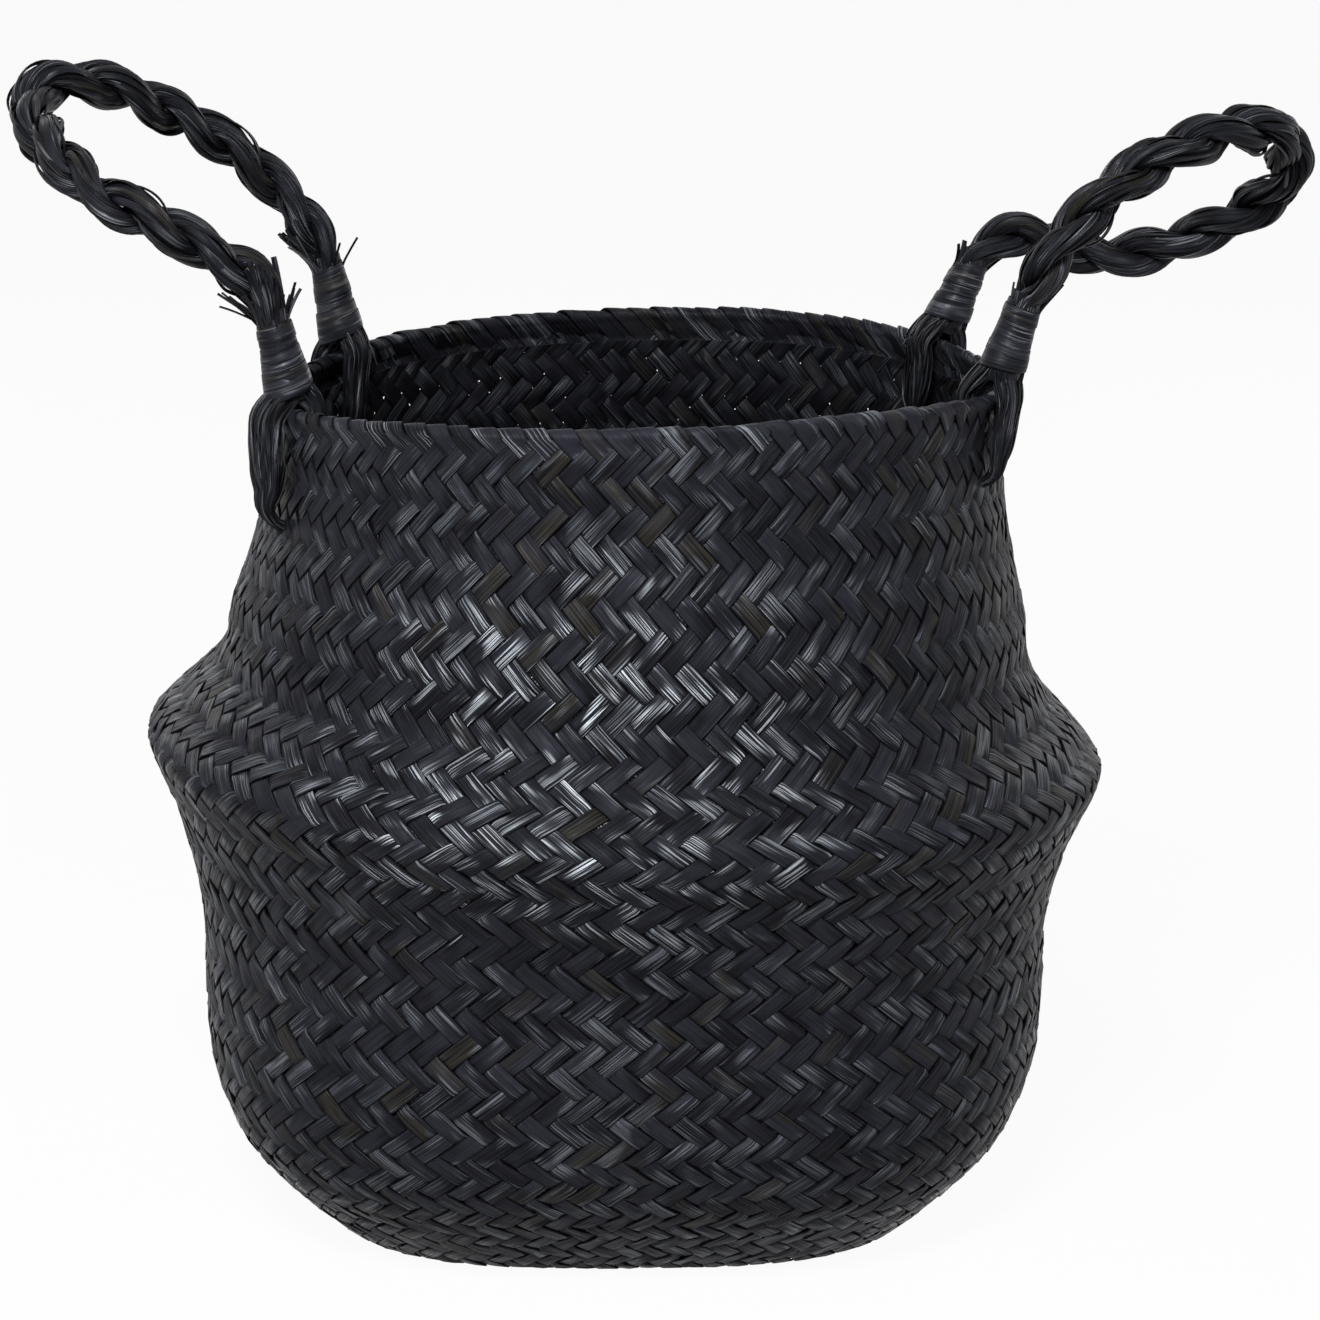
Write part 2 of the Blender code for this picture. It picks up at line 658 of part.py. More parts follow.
def cut_eyelets(wall, parent, origin):
    """Cut the four oval holes that the loops pass through."""
    bm = bmesh.new()
    half_length = WALL + CUT_OVERRUN
    for side in (-1, 1):
        eye = eyelet_height(side)
        radius = outline_radius(eye) - WALL / 2
        for end in (-1, 1):
            angle = foot_angle(side, end)
            radial = Vector((math.cos(angle), math.sin(angle), 0.0))
            tangential = Vector((-math.sin(angle), math.cos(angle), 0.0))
            place = radial_place(side, end, radius, eye)
            path = [place - radial * half_length, place, place + radial * half_length]
            width = LOOP_EYE_WIDTH + 2 * EYELET_MARGIN
            height = LOOP_EYE_THICKNESS * EYELET_HEIGHT_SHARE + 2 * EYELET_MARGIN
            swept(bm, path, [width] * 3, [height] * 3, [tangential] * 3, EYELET_SECTION)
    cutter = finish_mesh(bm, "eyelet_cutter", None, parent, origin)
    cutter.hide_render = True
    cutter.display_type = "WIRE"
    cut = wall.modifiers.new("eyelets", "BOOLEAN")
    cut.operation = "DIFFERENCE"
    cut.solver = "EXACT"
    cut.object = cutter


def make_body(materials):
    """Base, lower wall, shoulder, neck and rim, with the neck's sliding pivot."""
    fold_place = Vector((0.0, 0.0, BELLY_HEIGHT))
    fold = add_pivot("neck_slide", fold_place)
    make_base_mat(materials["base"])
    make_wall("lower_wall", 0.0, BELLY_HEIGHT - SEAM / 2, materials["wall"])
    shoulder = (BELLY_HEIGHT + SEAM / 2, NECK_HEIGHT - SEAM / 2)
    make_wall("shoulder_wall", *shoulder, materials["wall"])
    band = (NECK_HEIGHT + SEAM / 2, BODY_HEIGHT - RIM_BAND - SEAM / 2)
    neck = make_wall("neck_wall", *band, materials["wall"], fold, fold_place)
    cut_eyelets(neck, fold, fold_place)
    make_rim(materials["wall"], fold, fold_place)
    return fold, fold_place


def make_handle(side, materials, fold, fold_place):
    """One handle: two plies, and at each foot a bundle, its lashing and its loop."""
    name = "right_handle" if side > 0 else "left_handle"
    pivot = add_pivot(name + "_pivot", handle_origin(side), fold, fold_place)
    make_ply(name + "_ply_a", side, 0.0, materials["rope"], pivot)
    make_ply(name + "_ply_b", side, math.pi, materials["rope"], pivot)
    for end in (-1, 1):
        make_bundle(side, end, materials["rope"], pivot)
        make_lashing(side, end, materials["strip"], pivot)
        make_loop(side, end, materials["rope"], fold, fold_place)


def main():
    clear_scene()
    materials = {
        "base": fibre_material("base_fibre", DEEP_FIBRE, 0.75),
        "wall": fibre_material("wall_fibre", BLACK_FIBRE, 0.5),
        "rope": fibre_material("rope_fibre", ROPE_FIBRE, 0.6),
        "strip": fibre_material("lashing_fibre", STRIP_FIBRE, 0.55),
    }
    fold, fold_place = make_body(materials)
    for side in (-1, 1):
        make_handle(side, materials, fold, fold_place)


main()
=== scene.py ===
"""A belly basket woven from dyed flat strips, with two twisted rope handles.

The sidebar panel "Basket" lists the steps, from the base mat to the stage. Each step computes
its surfaces as arrays from the sizes in the property groups. Lengths are in metres, +Z is up,
+X points towards the right handle and -Y towards the front.
"""

import math

import bpy
import numpy as np
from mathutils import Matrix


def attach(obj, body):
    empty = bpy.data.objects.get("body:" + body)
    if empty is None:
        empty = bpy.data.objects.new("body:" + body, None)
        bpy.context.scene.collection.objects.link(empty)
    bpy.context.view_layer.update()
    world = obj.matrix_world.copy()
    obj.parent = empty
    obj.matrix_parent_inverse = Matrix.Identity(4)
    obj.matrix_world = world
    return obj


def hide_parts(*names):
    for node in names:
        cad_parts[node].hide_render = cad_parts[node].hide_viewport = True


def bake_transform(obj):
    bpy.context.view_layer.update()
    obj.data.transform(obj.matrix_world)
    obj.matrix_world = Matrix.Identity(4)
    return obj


bl_info = {
    "name": "Woven belly basket",
    "version": (1, 0, 0),
    "blender": (4, 5, 0),
    "location": "View3D > Sidebar > Basket",
    "description": "Builds a woven belly basket with rope handles",
    "category": "Add Mesh",
}

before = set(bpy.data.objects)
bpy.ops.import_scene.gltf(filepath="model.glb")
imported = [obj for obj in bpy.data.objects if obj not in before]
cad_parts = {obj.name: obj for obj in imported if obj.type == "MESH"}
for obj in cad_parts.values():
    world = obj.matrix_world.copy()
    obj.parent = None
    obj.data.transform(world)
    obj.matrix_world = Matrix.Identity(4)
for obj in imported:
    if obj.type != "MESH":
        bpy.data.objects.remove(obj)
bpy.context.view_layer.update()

SEED = 11

# The wall's outline below and above the belly line, as (height share, bulge share)
LOWER_OUTLINE_SHARES = (
    (0.0, 0.0), (0.036, 0.11), (0.091, 0.26), (0.182, 0.48), (0.309, 0.645), (0.473, 0.70),
    (0.636, 0.715), (0.764, 0.79), (0.873, 0.88), (0.945, 0.965), (1.0, 1.0),
)
UPPER_OUTLINE_SHARES = (
    (0.0, 1.0), (0.067, 0.83), (0.156, 0.55), (0.244, 0.36), (0.378, 0.29), (0.533, 0.165),
    (0.733, 0.035), (1.0, 0.0),
)

# Height of one row of crossings along the wall, as (height share, share of the neck's row)
ROW_SHARES = (
    (0.0, 0.82), (0.155, 0.87), (0.30, 0.93), (0.45, 0.96), (0.53, 0.93), (0.60, 0.96),
    (0.70, 1.07), (0.80, 1.14), (0.87, 1.03), (0.92, 1.0), (1.0, 1.0),
)

# Rope routes from the front foot to the back foot, as shares of reach, half span and rise
LEFT_ROUTE_SHARES = (
    (0.10, -1.05, 0.400), (0.19, -1.10, 0.471), (0.39, -1.13, 0.617), (0.58, -1.05, 0.710),
    (0.785, -0.68, 0.859), (0.895, -0.24, 0.952), (0.885, 0.06, 1.022), (0.785, 0.31, 1.028),
    (0.66, 0.52, 0.969), (0.49, 0.82, 0.834), (0.32, 1.00, 0.676), (0.14, 1.06, 0.460),
)
RIGHT_ROUTE_SHARES = (
    (0.103, -1.066, 0.327), (0.171, -1.078, 0.464), (0.263, -1.027, 0.583), (0.372, -0.97, 0.678),
    (0.509, -0.888, 0.763), (0.65, -0.778, 0.824), (0.802, -0.612, 0.849), (0.943, -0.385, 0.821),
    (1.02, -0.166, 0.732), (1.038, 0.074, 0.612), (0.987, 0.288, 0.497), (0.881, 0.482, 0.399),
    (0.763, 0.66, 0.315), (0.627, 0.822, 0.25), (0.483, 0.93, 0.243), (0.35, 0.985, 0.295),
    (0.225, 1.0, 0.325),
)

# Outward lean of each lashing, in degrees
LASHING_LEAN = {"left_front": 12.0, "left_back": 11.0, "right_front": 18.0, "right_back": 24.0}

# Frayed ends over each lashing, as (bearing from outwards and lean in degrees, length share,
# how many)
FRAYS = {
    "left_front": ((-90, 7, 1.0, 16), (10, 42, 0.8, 10), (165, 34, 0.62, 3), (95, 24, 0.5, 4)),
    "left_back": ((5, 30, 0.85, 12), (185, 30, 0.55, 2)),
    "right_front": ((10, 16, 0.6, 7), (180, 10, 0.3, 2)),
    "right_back": ((0, 24, 0.4, 5), (180, 12, 0.3, 2)),
}

# Each loop's thickness, width, bulge and depth as shares of the sizes, and its turn to the
# front in degrees
LOOP_SHARES = {
    "left_front": (1.38, 1.35, 0.2, 1.09, 3.4), "left_back": (1.1, 0.95, 0.4, 1.0, 0.0),
    "right_front": (0.95, 1.0, 0.0, 1.0, 3.2), "right_back": (1.0, 0.95, 0.3, 1.0, 0.0),
}

# Loose strip ends under a lashing, as (foot, bearing and droop in degrees, length share)
STUBS = (
    ("left_front", 20, 62, 0.28), ("left_front", 60, 20, 0.30), ("right_front", 25, 6, 0.85),
    ("left_back", 170, 14, 0.80), ("left_back", 150, 22, 0.62), ("right_back", 175, 20, 0.75),
    ("right_back", 200, 30, 0.55),
)

# A flat strip's section, as (place across, height) in shares of its width and thickness
STRIP_SECTION = (
    (-0.5, -0.05), (-0.468, 0.34), (-0.43, 0.43), (0.0, 0.52), (0.43, 0.43), (0.468, 0.34),
    (0.5, -0.05), (0.32, -0.5), (-0.32, -0.5),
)
FIBRE_SECTION = ((-0.5, 0.0), (-0.2, 0.5), (0.2, 0.5), (0.5, 0.0), (0.2, -0.5), (-0.2, -0.5))

# Places of a strip's stations in one repeat of four crossings: dives at 0 and 2, floats between
STATION_PHASES = (0.0, 0.2, 1.0, 1.8, 2.0, 2.2, 3.0, 3.8)

# Samples of the wall's outline, and the share of its radius by which the plan wanders
OUTLINE_SAMPLES = 1200
UNEVENNESS = 0.0035

# Length of the fibre pattern on one crossing, and on one radian of a winding
CROSSING_LENGTH = 0.0062
WINDING_LENGTH = 0.0075

# Strips get numbers up to this one, which moves the fibre pattern on each
LAST_NUMBER = 50.0

# Edges with a larger angle stay sharp
SHARP_ANGLE = math.radians(62.0)

# Lengths of a whole frayed end and a whole loose end, and the thickness of their fibres
FRAY_LENGTH = 0.0175
STUB_LENGTH = 0.017
FIBRE_DEPTH = 0.0007

# The patch of painted highlight at the front of the shoulder, where the key light falls: its
# middle, with X narrowed to make it wide, and the distances at which it starts to fade and ends
HIGHLIGHT_PATCH_NARROWING = (0.6, 1.0, 1.0)
HIGHLIGHT_PATCH_MIDDLE = (-0.012, -0.155, 0.185)
HIGHLIGHT_PATCH_FADE = (0.034, 0.078)

# Depth of the fibres' relief, and the cool tint of their gloss
RELIEF = 0.0007
GLOSS_TINT = (0.86, 0.89, 1.0, 1.0)

# Settings of each finish; the other ones are as in fibre_finish
FINISHES = {
    "woven_strip": {"painted_light": 0.85},
    # rim_strip is lighter than woven_strip, with more worn grey and painted glint: partly wear,
    # partly painted light on the rim's folds that face up
    "rim_strip": {"wear_and_glint": 1.2, "shade": 1.35, "painted_light": 0.7},
    "rope_fibre": {"wear_and_glint": 0.25, "ridges": 1.3, "gloss": 0.12, "shade": 0.55},
    "binding_strip": {"wear_and_glint": 0.2, "ridges": 0.35, "lines": 10.0, "gloss": 0.12, "shade": 0.9},
    "loop_strip": {"wear_and_glint": 0.3, "ridges": 1.2, "lines": 8.0, "gloss": 0.14, "shade": 0.5},
}

# The stage: half the floor's width, its share of white where it is seen, the world's light,
# and the lamps as (name, place, power, width), which all face one point
FLOOR_REACH = 30.0
FLOOR_WHITE = 0.95
WORLD_LIGHT = 0.06
LAMPS = (
    ("key_light", (-0.20, -1.08, 1.18), 30.0, 0.45),
    ("left_light", (-1.7, -0.5, 0.9), 1.2, 0.7),
    ("right_light", (1.7, -0.6, 0.8), 1.0, 0.7),
    ("back_left_light", (-1.0, 1.45, 0.90), 5.5, 0.9),
    ("back_right_light", (1.0, 1.45, 0.80), 5.5, 0.9),
)
LAMPS_FACE = (0.0, 0.0, 0.16)

# The camera's place, its drop under level in degrees, its turn in radians, and its lens in
# millimetres
CAMERA_PLACE = (0.0, -1.357, 0.5063)
CAMERA_DROP = 13.59
CAMERA_TURN = -0.00934
CAMERA_LENS = 113.26


def size(name, default, description):
    """A length property."""
    return bpy.props.FloatProperty(
        name=name, default=default, description=description, unit="LENGTH", precision=4
    )


def share(name, default, description):
    """A number without a unit."""
    return bpy.props.FloatProperty(name=name, default=default, description=description)


def turn(name, degrees, description):
    """An angle property, stored in radians."""
    return bpy.props.FloatProperty(
        name=name, default=math.radians(degrees), description=description, subtype="ANGLE"
    )


def dye(name, default, description):
    """A colour property."""
    return bpy.props.FloatVectorProperty(
        name=name, default=default, description=description, subtype="COLOR", size=3
    )


class BasketBody(bpy.types.PropertyGroup):
    """Sizes of the basket's body."""

    base_radius: size("Base radius", 0.100, "Radius of the rounded square base")
    belly_radius: size("Belly radius", 0.160, "Radius at the belly line")
    rim_radius: size("Rim radius", 0.1215, "Outer radius at the rim")
    belly_height: size("Belly height", 0.1535, "Height of the belly line")
    neck_height: size("Neck height", 0.208, "Height where the shoulder ends")
    body_height: size("Body height", 0.279, "Height of the rim's top")
    wall: size("Wall", 0.003, "Depth of the woven wall")
    squareness: share("Base squareness", 3.1, "Exponent of the base's plan, 2 is round")
    fade: share("Square fade", 0.82, "Share of the belly height at which the plan is round")
    lean: size("Rim lean", 0.006, "Sideways lean of the rim")
    belly_tilt: size("Belly tilt", 0.0072, "Drop of the belly line on the right")
    rim_tilt: size("Rim tilt", 0.0036, "Rise of the rim on the right")
    left_sag: size("Left sag", 0.0065, "Sag of the rim between the left handle's feet")
    right_sag: size("Right sag", 0.0075, "Sag of the rim between the right handle's feet")


class BasketWeave(bpy.types.PropertyGroup):
    """Sizes of the woven strips."""

    strips: bpy.props.IntProperty(name="Strips", default=92, description="Strips in each direction")
    row: size("Neck row", 0.00445, "Height of one row of crossings in the neck")
    thickness: size("Thickness", 0.00095, "Thickness of a strip")
    fill: share("Fill", 0.986, "Strip width as a share of the strips' spacing")
    heave: share("Heave", 0.6, "Rise and fall of a strip as a share of its thickness")
    dive: share("Dive", 0.22, "Half length of a dive, in crossings")
    base_pitch: size("Base pitch", 0.0062, "Spacing of the base mat's strips")
    roll: size("Rim roll", 0.0021, "Radius of the roll over the rim")


class BasketHandles(bpy.types.PropertyGroup):
    """Sizes of the two rope handles and what holds them."""

    skew: turn("Skew", 5.5, "Turn of both handles towards the back")
    foot_angle: turn("Foot angle", 25.5, "Half the angle between a handle's feet")
    axis_rise: size("Axis rise", 0.0092, "Height of the swing axis above the rim")
    left_out: size("Left axis out", 0.0005, "Outward place of the left swing axis")
    right_out: size("Right axis out", 0.004, "Outward place of the right swing axis")
    left_lift: share("Left axis lift", 0.027, "Rise of the left swing axis towards the back")
    reach: size("Reach", 0.100, "Outward scale of the rope's route")
    rise: size("Rise", 0.084, "Upward scale of the rope's route")
    ply: size("Ply radius", 0.0042, "Radius of one ply of the rope")
    pitch: size("Twist pitch", 0.046, "Length of one full turn of the twist")
    bundle_bottom: size("Bundle bottom radius", 0.0064, "Radius of a bound end at its bottom")
    bundle_top: size("Bundle top radius", 0.0050, "Radius of a bound end at its top")
    bundle_length: size("Bundle length", 0.025, "Length of a bound end")
    bundle_drop: size("Bundle drop", 0.0045, "Depth of a bound end under the swing axis")
    left_eyelet: size("Left eyelets", 0.0362, "Depth of the left eyelets under the rim")
    right_eyelet: size("Right eyelets", 0.0284, "Depth of the right eyelets under the rim")
    loop_width: size("Loop width", 0.0132, "Width of a loop's loose hank")
    loop_depth: size("Loop depth", 0.0072, "Thickness of a loop's loose hank")
    loop_bulge: size("Loop bulge", 0.0022, "Outward bulge of a loop")


class BasketDyes(bpy.types.PropertyGroup):
    """Colours of the dyed fibres, of the painted highlight and shade, and of the stage."""

    # Painted shade: the darkest colour, put in the grooves between fibre ridges, along the strips'
    # edges and on faces that look inwards
    deep: dye("Deep black", (0.0012, 0.0012, 0.0016), "Darkest dye between the fibres")
    black: dye("Black", (0.0154, 0.0160, 0.0218), "Usual dye of a strip")
    worn: dye("Worn grey", (0.055, 0.062, 0.076), "Fibre ridges where the dye is thin")
    # Painted highlight: light streaks in the colour that stand in for the gloss of the fibres
    painted_glint: dye("Glint", (0.55, 0.59, 0.64), "Thin fibres that kept no dye")
    straw: dye("Straw", (0.030, 0.026, 0.015), "Brownish tint of a few strips")
    floor: dye("Floor", (0.72, 0.72, 0.72), "Colour of the floor")


class Wire:
    """A shader value: operators on it add Math nodes."""

    def __init__(self, tree, socket):
        self.tree = tree
        self.socket = socket

    def math(self, operation, first, second):
        node = self.tree.nodes.new("ShaderNodeMath")
        node.operation = operation
        for slot, value in zip(node.inputs, (first, second)):
            if isinstance(value, Wire):
                self.tree.links.new(value.socket, slot)
            else:
                slot.default_value = value
        return Wire(self.tree, node.outputs[0])

    def __add__(self, other):
        return self.math("ADD", self, other)

    def __sub__(self, other):
        return self.math("SUBTRACT", self, other)

    def __rsub__(self, other):
        return self.math("SUBTRACT", other, self)

    def __mul__(self, other):
        return self.math("MULTIPLY", self, other)

    def __abs__(self):
        return self.math("ABSOLUTE", self, 0.0)

    __radd__ = __add__
    __rmul__ = __mul__


class Finish:
    """A material under construction."""

    def __init__(self, name):
        self.material = bpy.data.materials.new(name)
        self.material.use_nodes = True
        self.tree = self.material.node_tree
        self.shader = self.tree.nodes["Principled BSDF"]

    def node(self, kind, settings=(), values=()):
        """Any node: its settings are set first, then the values or wires of its sockets."""
        node = self.tree.nodes.new(kind)
        for name, value in dict(settings).items():
            setattr(node, name, value)
        for slot, value in dict(values).items():
            self.feed(node.inputs[slot], value)
        return node

    def feed(self, socket, value):
        """Link a wire to a socket, or set its value."""
        if isinstance(value, Wire):
            self.tree.links.new(value.socket, socket)
        else:
            socket.default_value = value

    def wire(self, node, output=0):
        return Wire(self.tree, node.outputs[output])

    def vector(self, operation, first, second, output=0):
        """Vector Math on two vectors."""
        node = self.node("ShaderNodeVectorMath", {"operation": operation}, {0: first, 1: second})
        return self.wire(node, output)

    def stretched(self, coordinates, scale, detail=1.0):
        """Noise on coordinates that are multiplied by three scales."""
        scaled = self.vector("MULTIPLY", coordinates, scale)
        noise = self.node(
            "ShaderNodeTexNoise",
            {"noise_dimensions": "3D"},
            {"Vector": scaled, "Scale": 1.0, "Detail": detail, "Roughness": 0.6},
        )
        return self.wire(noise)

    def steps(self, value, low, high):
        """Smooth rise from 0 to 1 as value goes from low to high."""
        node = self.node(
            "ShaderNodeMapRange",
            {"interpolation_type": "SMOOTHSTEP", "clamp": True},
            {"Value": value, "From Min": low, "From Max": high, "To Min": 0.0, "To Max": 1.0},
        )
        return self.wire(node)

    def mix(self, factor, first, second):
        """Mix of two colours."""
        node = self.node(
            "ShaderNodeMix", {"data_type": "RGBA"}, {0: factor, 6: first, 7: second}
        )
        return self.wire(node, 2)


def opaque(colour):
    return (colour[0], colour[1], colour[2], 1.0)


def seen_rays(tree):
    """1 for the rays that show the background: camera, glossy and transmission rays."""
    path = tree.nodes.new("ShaderNodeLightPath")
    seen = Wire(tree, path.outputs["Is Camera Ray"]) + Wire(tree, path.outputs["Is Glossy Ray"])
    return seen + Wire(tree, path.outputs["Is Transmission Ray"])


def fibre_finish(
    name, dyes, wear_and_glint=1.0, ridges=1.0, lines=16.0, gloss=0.07, shade=1.0, painted_light=0.0
):
    """Dyed plant fibre: ridges along the strip with worn dye and painted glints, and patchy gloss.

    The attribute "fibre" holds (length along the strip, place across it, the strip's number);
    lines is the number of ridges across a strip and shade scales the lighter dye, against which
    the grooves between the ridges get painted shade. The last argument sets how much of the
    painted glint is kept to a patch of painted highlight at the front of the shoulder, and the
    painted shade of faces that look inwards: those whose normal points against the way out from
    the body's axis.
    """
    finish = Finish(name)
    fibre = finish.wire(
        finish.node("ShaderNodeAttribute", {"attribute_name": "fibre"}), "Vector"
    )
    coarse = finish.stretched(fibre, (30.0, 0.38 * lines, 61.0), 2.0)
    fine = finish.stretched(fibre, (42.0, lines, 47.0))
    cell = finish.stretched(fibre, (64.0, 0.8, 37.0))
    strip = finish.stretched(fibre, (7.0, 0.2, 23.0))
    ridge = finish.steps(coarse * 0.4 + fine * 0.6, 0.42, 0.58)
    wear_and_glint_cells = finish.steps(cell, 0.48, 0.66)
    kept = finish.steps(strip, 0.38, 0.60)
    across = finish.wire(finish.node("ShaderNodeSeparateXYZ", (), {0: fibre}), "Y")
    # Painted shade along the strips' long edges, standing for the dark creases between strips
    edge = finish.steps(abs(across - 0.5), 0.425, 0.475)
    dyed = finish.steps(finish.stretched(fibre, (52.0, 0.5, 11.0)), 0.40, 0.62)
    # Painted shade in the grooves between the fibre ridges, with a random dye tone on top
    light = (0.15 + ridge * 0.45 + dyed * 0.5) * shade
    base = finish.mix(light, opaque(dyes.deep), opaque(dyes.black))
    tinted = finish.steps(finish.stretched(fibre, (9.0, 0.4, 17.0)), 0.58, 0.66)
    base = finish.mix(tinted * ridge * 0.6, base, opaque(dyes.straw))
    base = finish.mix(wear_and_glint_cells * ridge * (0.40 * wear_and_glint), base, opaque(dyes.worn))
    # A patch of painted highlight at the front of the shoulder, where the key light falls: the
    # painted glints are kept to it
    place = finish.wire(finish.node("ShaderNodeTexCoord"), "Object")
    narrowed = finish.vector("MULTIPLY", place, HIGHLIGHT_PATCH_NARROWING)
    away = finish.vector("DISTANCE", narrowed, HIGHLIGHT_PATCH_MIDDLE, "Value")
    highlight_patch = 1.0 - finish.steps(away, *HIGHLIGHT_PATCH_FADE) * painted_light
    # Faces that look inwards, which get painted shade inside the body
    level = finish.vector("MULTIPLY", place, (1.0, 1.0, 0.0))
    normal = finish.wire(finish.node("ShaderNodeNewGeometry"), "True Normal")
    outward = finish.vector("DOT_PRODUCT", level, normal, "Value")
    inside = 1.0 - finish.steps(outward, -0.03, 0.0)
    # Painted highlight: light streaks in the colour on random cells, mostly kept to the shoulder's
    # patch
    painted_glint = finish.steps(fine, 0.52, 0.62) * wear_and_glint_cells * (0.3 + kept * 0.7) * highlight_patch
    base = finish.mix(painted_glint * wear_and_glint, base, opaque(dyes.painted_glint))
    # Painted shade in the creases along each strip's edges
    base = finish.mix(edge, base, opaque(dyes.deep))
    # Painted shade on the faces that look inwards
    base = finish.mix(inside * (0.6 * painted_light), base, opaque(dyes.deep))
    finish.feed(finish.shader.inputs["Base Color"], base)
    rough = 0.52 - ridge * 0.12 - wear_and_glint_cells * ridge * 0.16 - kept * 0.04
    finish.feed(finish.shader.inputs["Roughness"], rough + edge * 0.3)
    finish.shader.inputs["Specular IOR Level"].default_value = gloss
    finish.shader.inputs["Specular Tint"].default_value = GLOSS_TINT
    relief = coarse * 0.5 + fine * 0.5 + cell * 5.0
    bump = finish.node(
        "ShaderNodeBump", (), {"Strength": 1.0, "Distance": RELIEF * ridges, "Height": relief}
    )
    finish.feed(finish.shader.inputs["Normal"], finish.wire(bump))
    return finish.material


def curve_through(knots, values, at):
    """A cubic on each stretch between knots, with each knot's slope taken from its neighbours."""
    knots = np.asarray(knots, float)
    values = np.asarray(values, float)
    slopes = np.gradient(values, knots)
    at = np.clip(at, knots[0], knots[-1])
    i = np.clip(np.searchsorted(knots, at, side="right") - 1, 0, len(knots) - 2)
    width = knots[i + 1] - knots[i]
    t = (at - knots[i]) / width
    left = values[i] * (2 * t**3 - 3 * t**2 + 1) + slopes[i] * width * (t**3 - 2 * t**2 + t)
    right = values[i + 1] * (3 * t**2 - 2 * t**3) + slopes[i + 1] * width * (t**3 - t**2)
    return left + right


def ease(value):
    """Smooth step: 3v^2 - 2v^3 of v held between 0 and 1."""
    value = np.clip(value, 0.0, 1.0)
    return value * value * (3.0 - 2.0 * value)


def towards(near, far, share):
    """The value a share of the way from near to far."""
    return near + (far - near) * share


def float_wave(crossing, dive):
    """+1 over two crossings and -1 under the next two, with a smooth dive between them."""
    phase = (crossing + 1.5) % 4.0
    rise = np.where(phase < 2.0, 1.0 - np.abs(phase - 1.0), np.abs(phase - 3.0) - 1.0)
    rise = np.clip(rise / dive, -1.0, 1.0)
    return 1.5 * rise - 0.5 * rise**3


class Wall:
    """The woven body as a surface over (turn, level).

    turn counts strips round the body and level counts pairs of rows up the wall, so a strip
    that leans right keeps turn - level and one that leans left keeps turn + level.
    """

    def __init__(self, body, weave):
        self.body = body
        self.strips = weave.strips
        rise = body.body_height - body.belly_height
        swell_low = body.belly_radius - body.base_radius
        swell_high = body.belly_radius - body.rim_radius
        low = np.array(LOWER_OUTLINE_SHARES)
        high = np.array(UPPER_OUTLINE_SHARES[1:])
        knots = np.concatenate([
            low[:, 0] * body.belly_height, body.belly_height + rise * high[:, 0]
        ])
        radii = np.concatenate([
            body.base_radius + swell_low * low[:, 1], body.rim_radius + swell_high * high[:, 1]
        ])
        self.height = np.linspace(0.0, body.body_height, OUTLINE_SAMPLES)
        self.radius = curve_through(knots, radii, self.height)
        slope = np.gradient(self.radius, self.height)
        self.out = 1.0 / np.hypot(1.0, slope)
        self.up = -slope * self.out
        rows = np.array(ROW_SHARES)
        row = weave.row * np.interp(self.height / body.body_height, rows[:, 0], rows[:, 1])
        step = np.diff(self.height) * np.hypot(1.0, (slope[1:] + slope[:-1]) / 2)
        gained = np.concatenate([[0.0], np.cumsum(step / (row[1:] + row[:-1]))])
        first = ((2.08 - 2.0 * gained[-1]) % 4.0) / 2.0
        self.level = gained + first
        self.low, self.high = self.level[0], self.level[-1]

    def place(self, turn, level, lift):
        """The point at a turn and level, lifted along the wall's outward direction."""
        height = np.interp(level, self.level, self.height)
        radius = np.interp(level, self.level, self.radius)
        radius = radius + lift * np.interp(level, self.level, self.out)
        raised = height + lift * np.interp(level, self.level, self.up)
        angle = turn * (2.0 * math.pi / self.strips)
        return self.settle(angle, radius, raised, height)

    def over(self, turn, level, out, up):
        """The point an amount out and up from the middle of the wall at a turn and level."""
        height = np.interp(level, self.level, self.height)
        radius = np.interp(level, self.level, self.radius) - self.body.wall / 2
        angle = turn * (2.0 * math.pi / self.strips)
        return self.settle(angle, radius + out, height + up, height)

    def settle(self, angle, radius, raised, height):
        """A rounded square plan low down, then the lean and tilts of the handmade body.

        The plan's reach is (|cos|^p + |sin|^p)^(-1/p), with p falling to 2 below the belly.
        """
        body = self.body
        c, s = np.cos(angle), np.sin(angle)
        fade = np.clip(1.0 - height / (body.belly_height * body.fade), 0.0, 1.0)
        power = 2.0 + (body.squareness - 2.0) * fade**1.5
        reach = (np.abs(c) ** power + np.abs(s) ** power) ** (-1.0 / power)
        waves = np.sin(3.0 * angle + 19.0 * height)
        reach = reach + UNEVENNESS * waves * np.sin(11.0 * height + 0.4)
        x, y = radius * reach * c, radius * reach * s
        rest = (height - body.belly_height) / (body.body_height - body.belly_height)
        belly_part = np.where(
            height < body.belly_height,
            ease(height / body.belly_height) ** 3,
            (1.0 - ease(rest)) ** 2,
        )
        tilt = (body.rim_tilt * ease(rest) - body.belly_tilt * belly_part) / body.belly_radius
        lean = body.lean * (height / body.body_height) ** 3
        side_part = np.minimum(np.abs(x) / body.rim_radius, 1.0) ** 4
        sag = np.where(x > 0, body.right_sag, body.left_sag) * ease(rest) * side_part
        return np.stack([x + lean, y, np.maximum(raised + tilt * x - sag, 0.0002)], axis=-1)


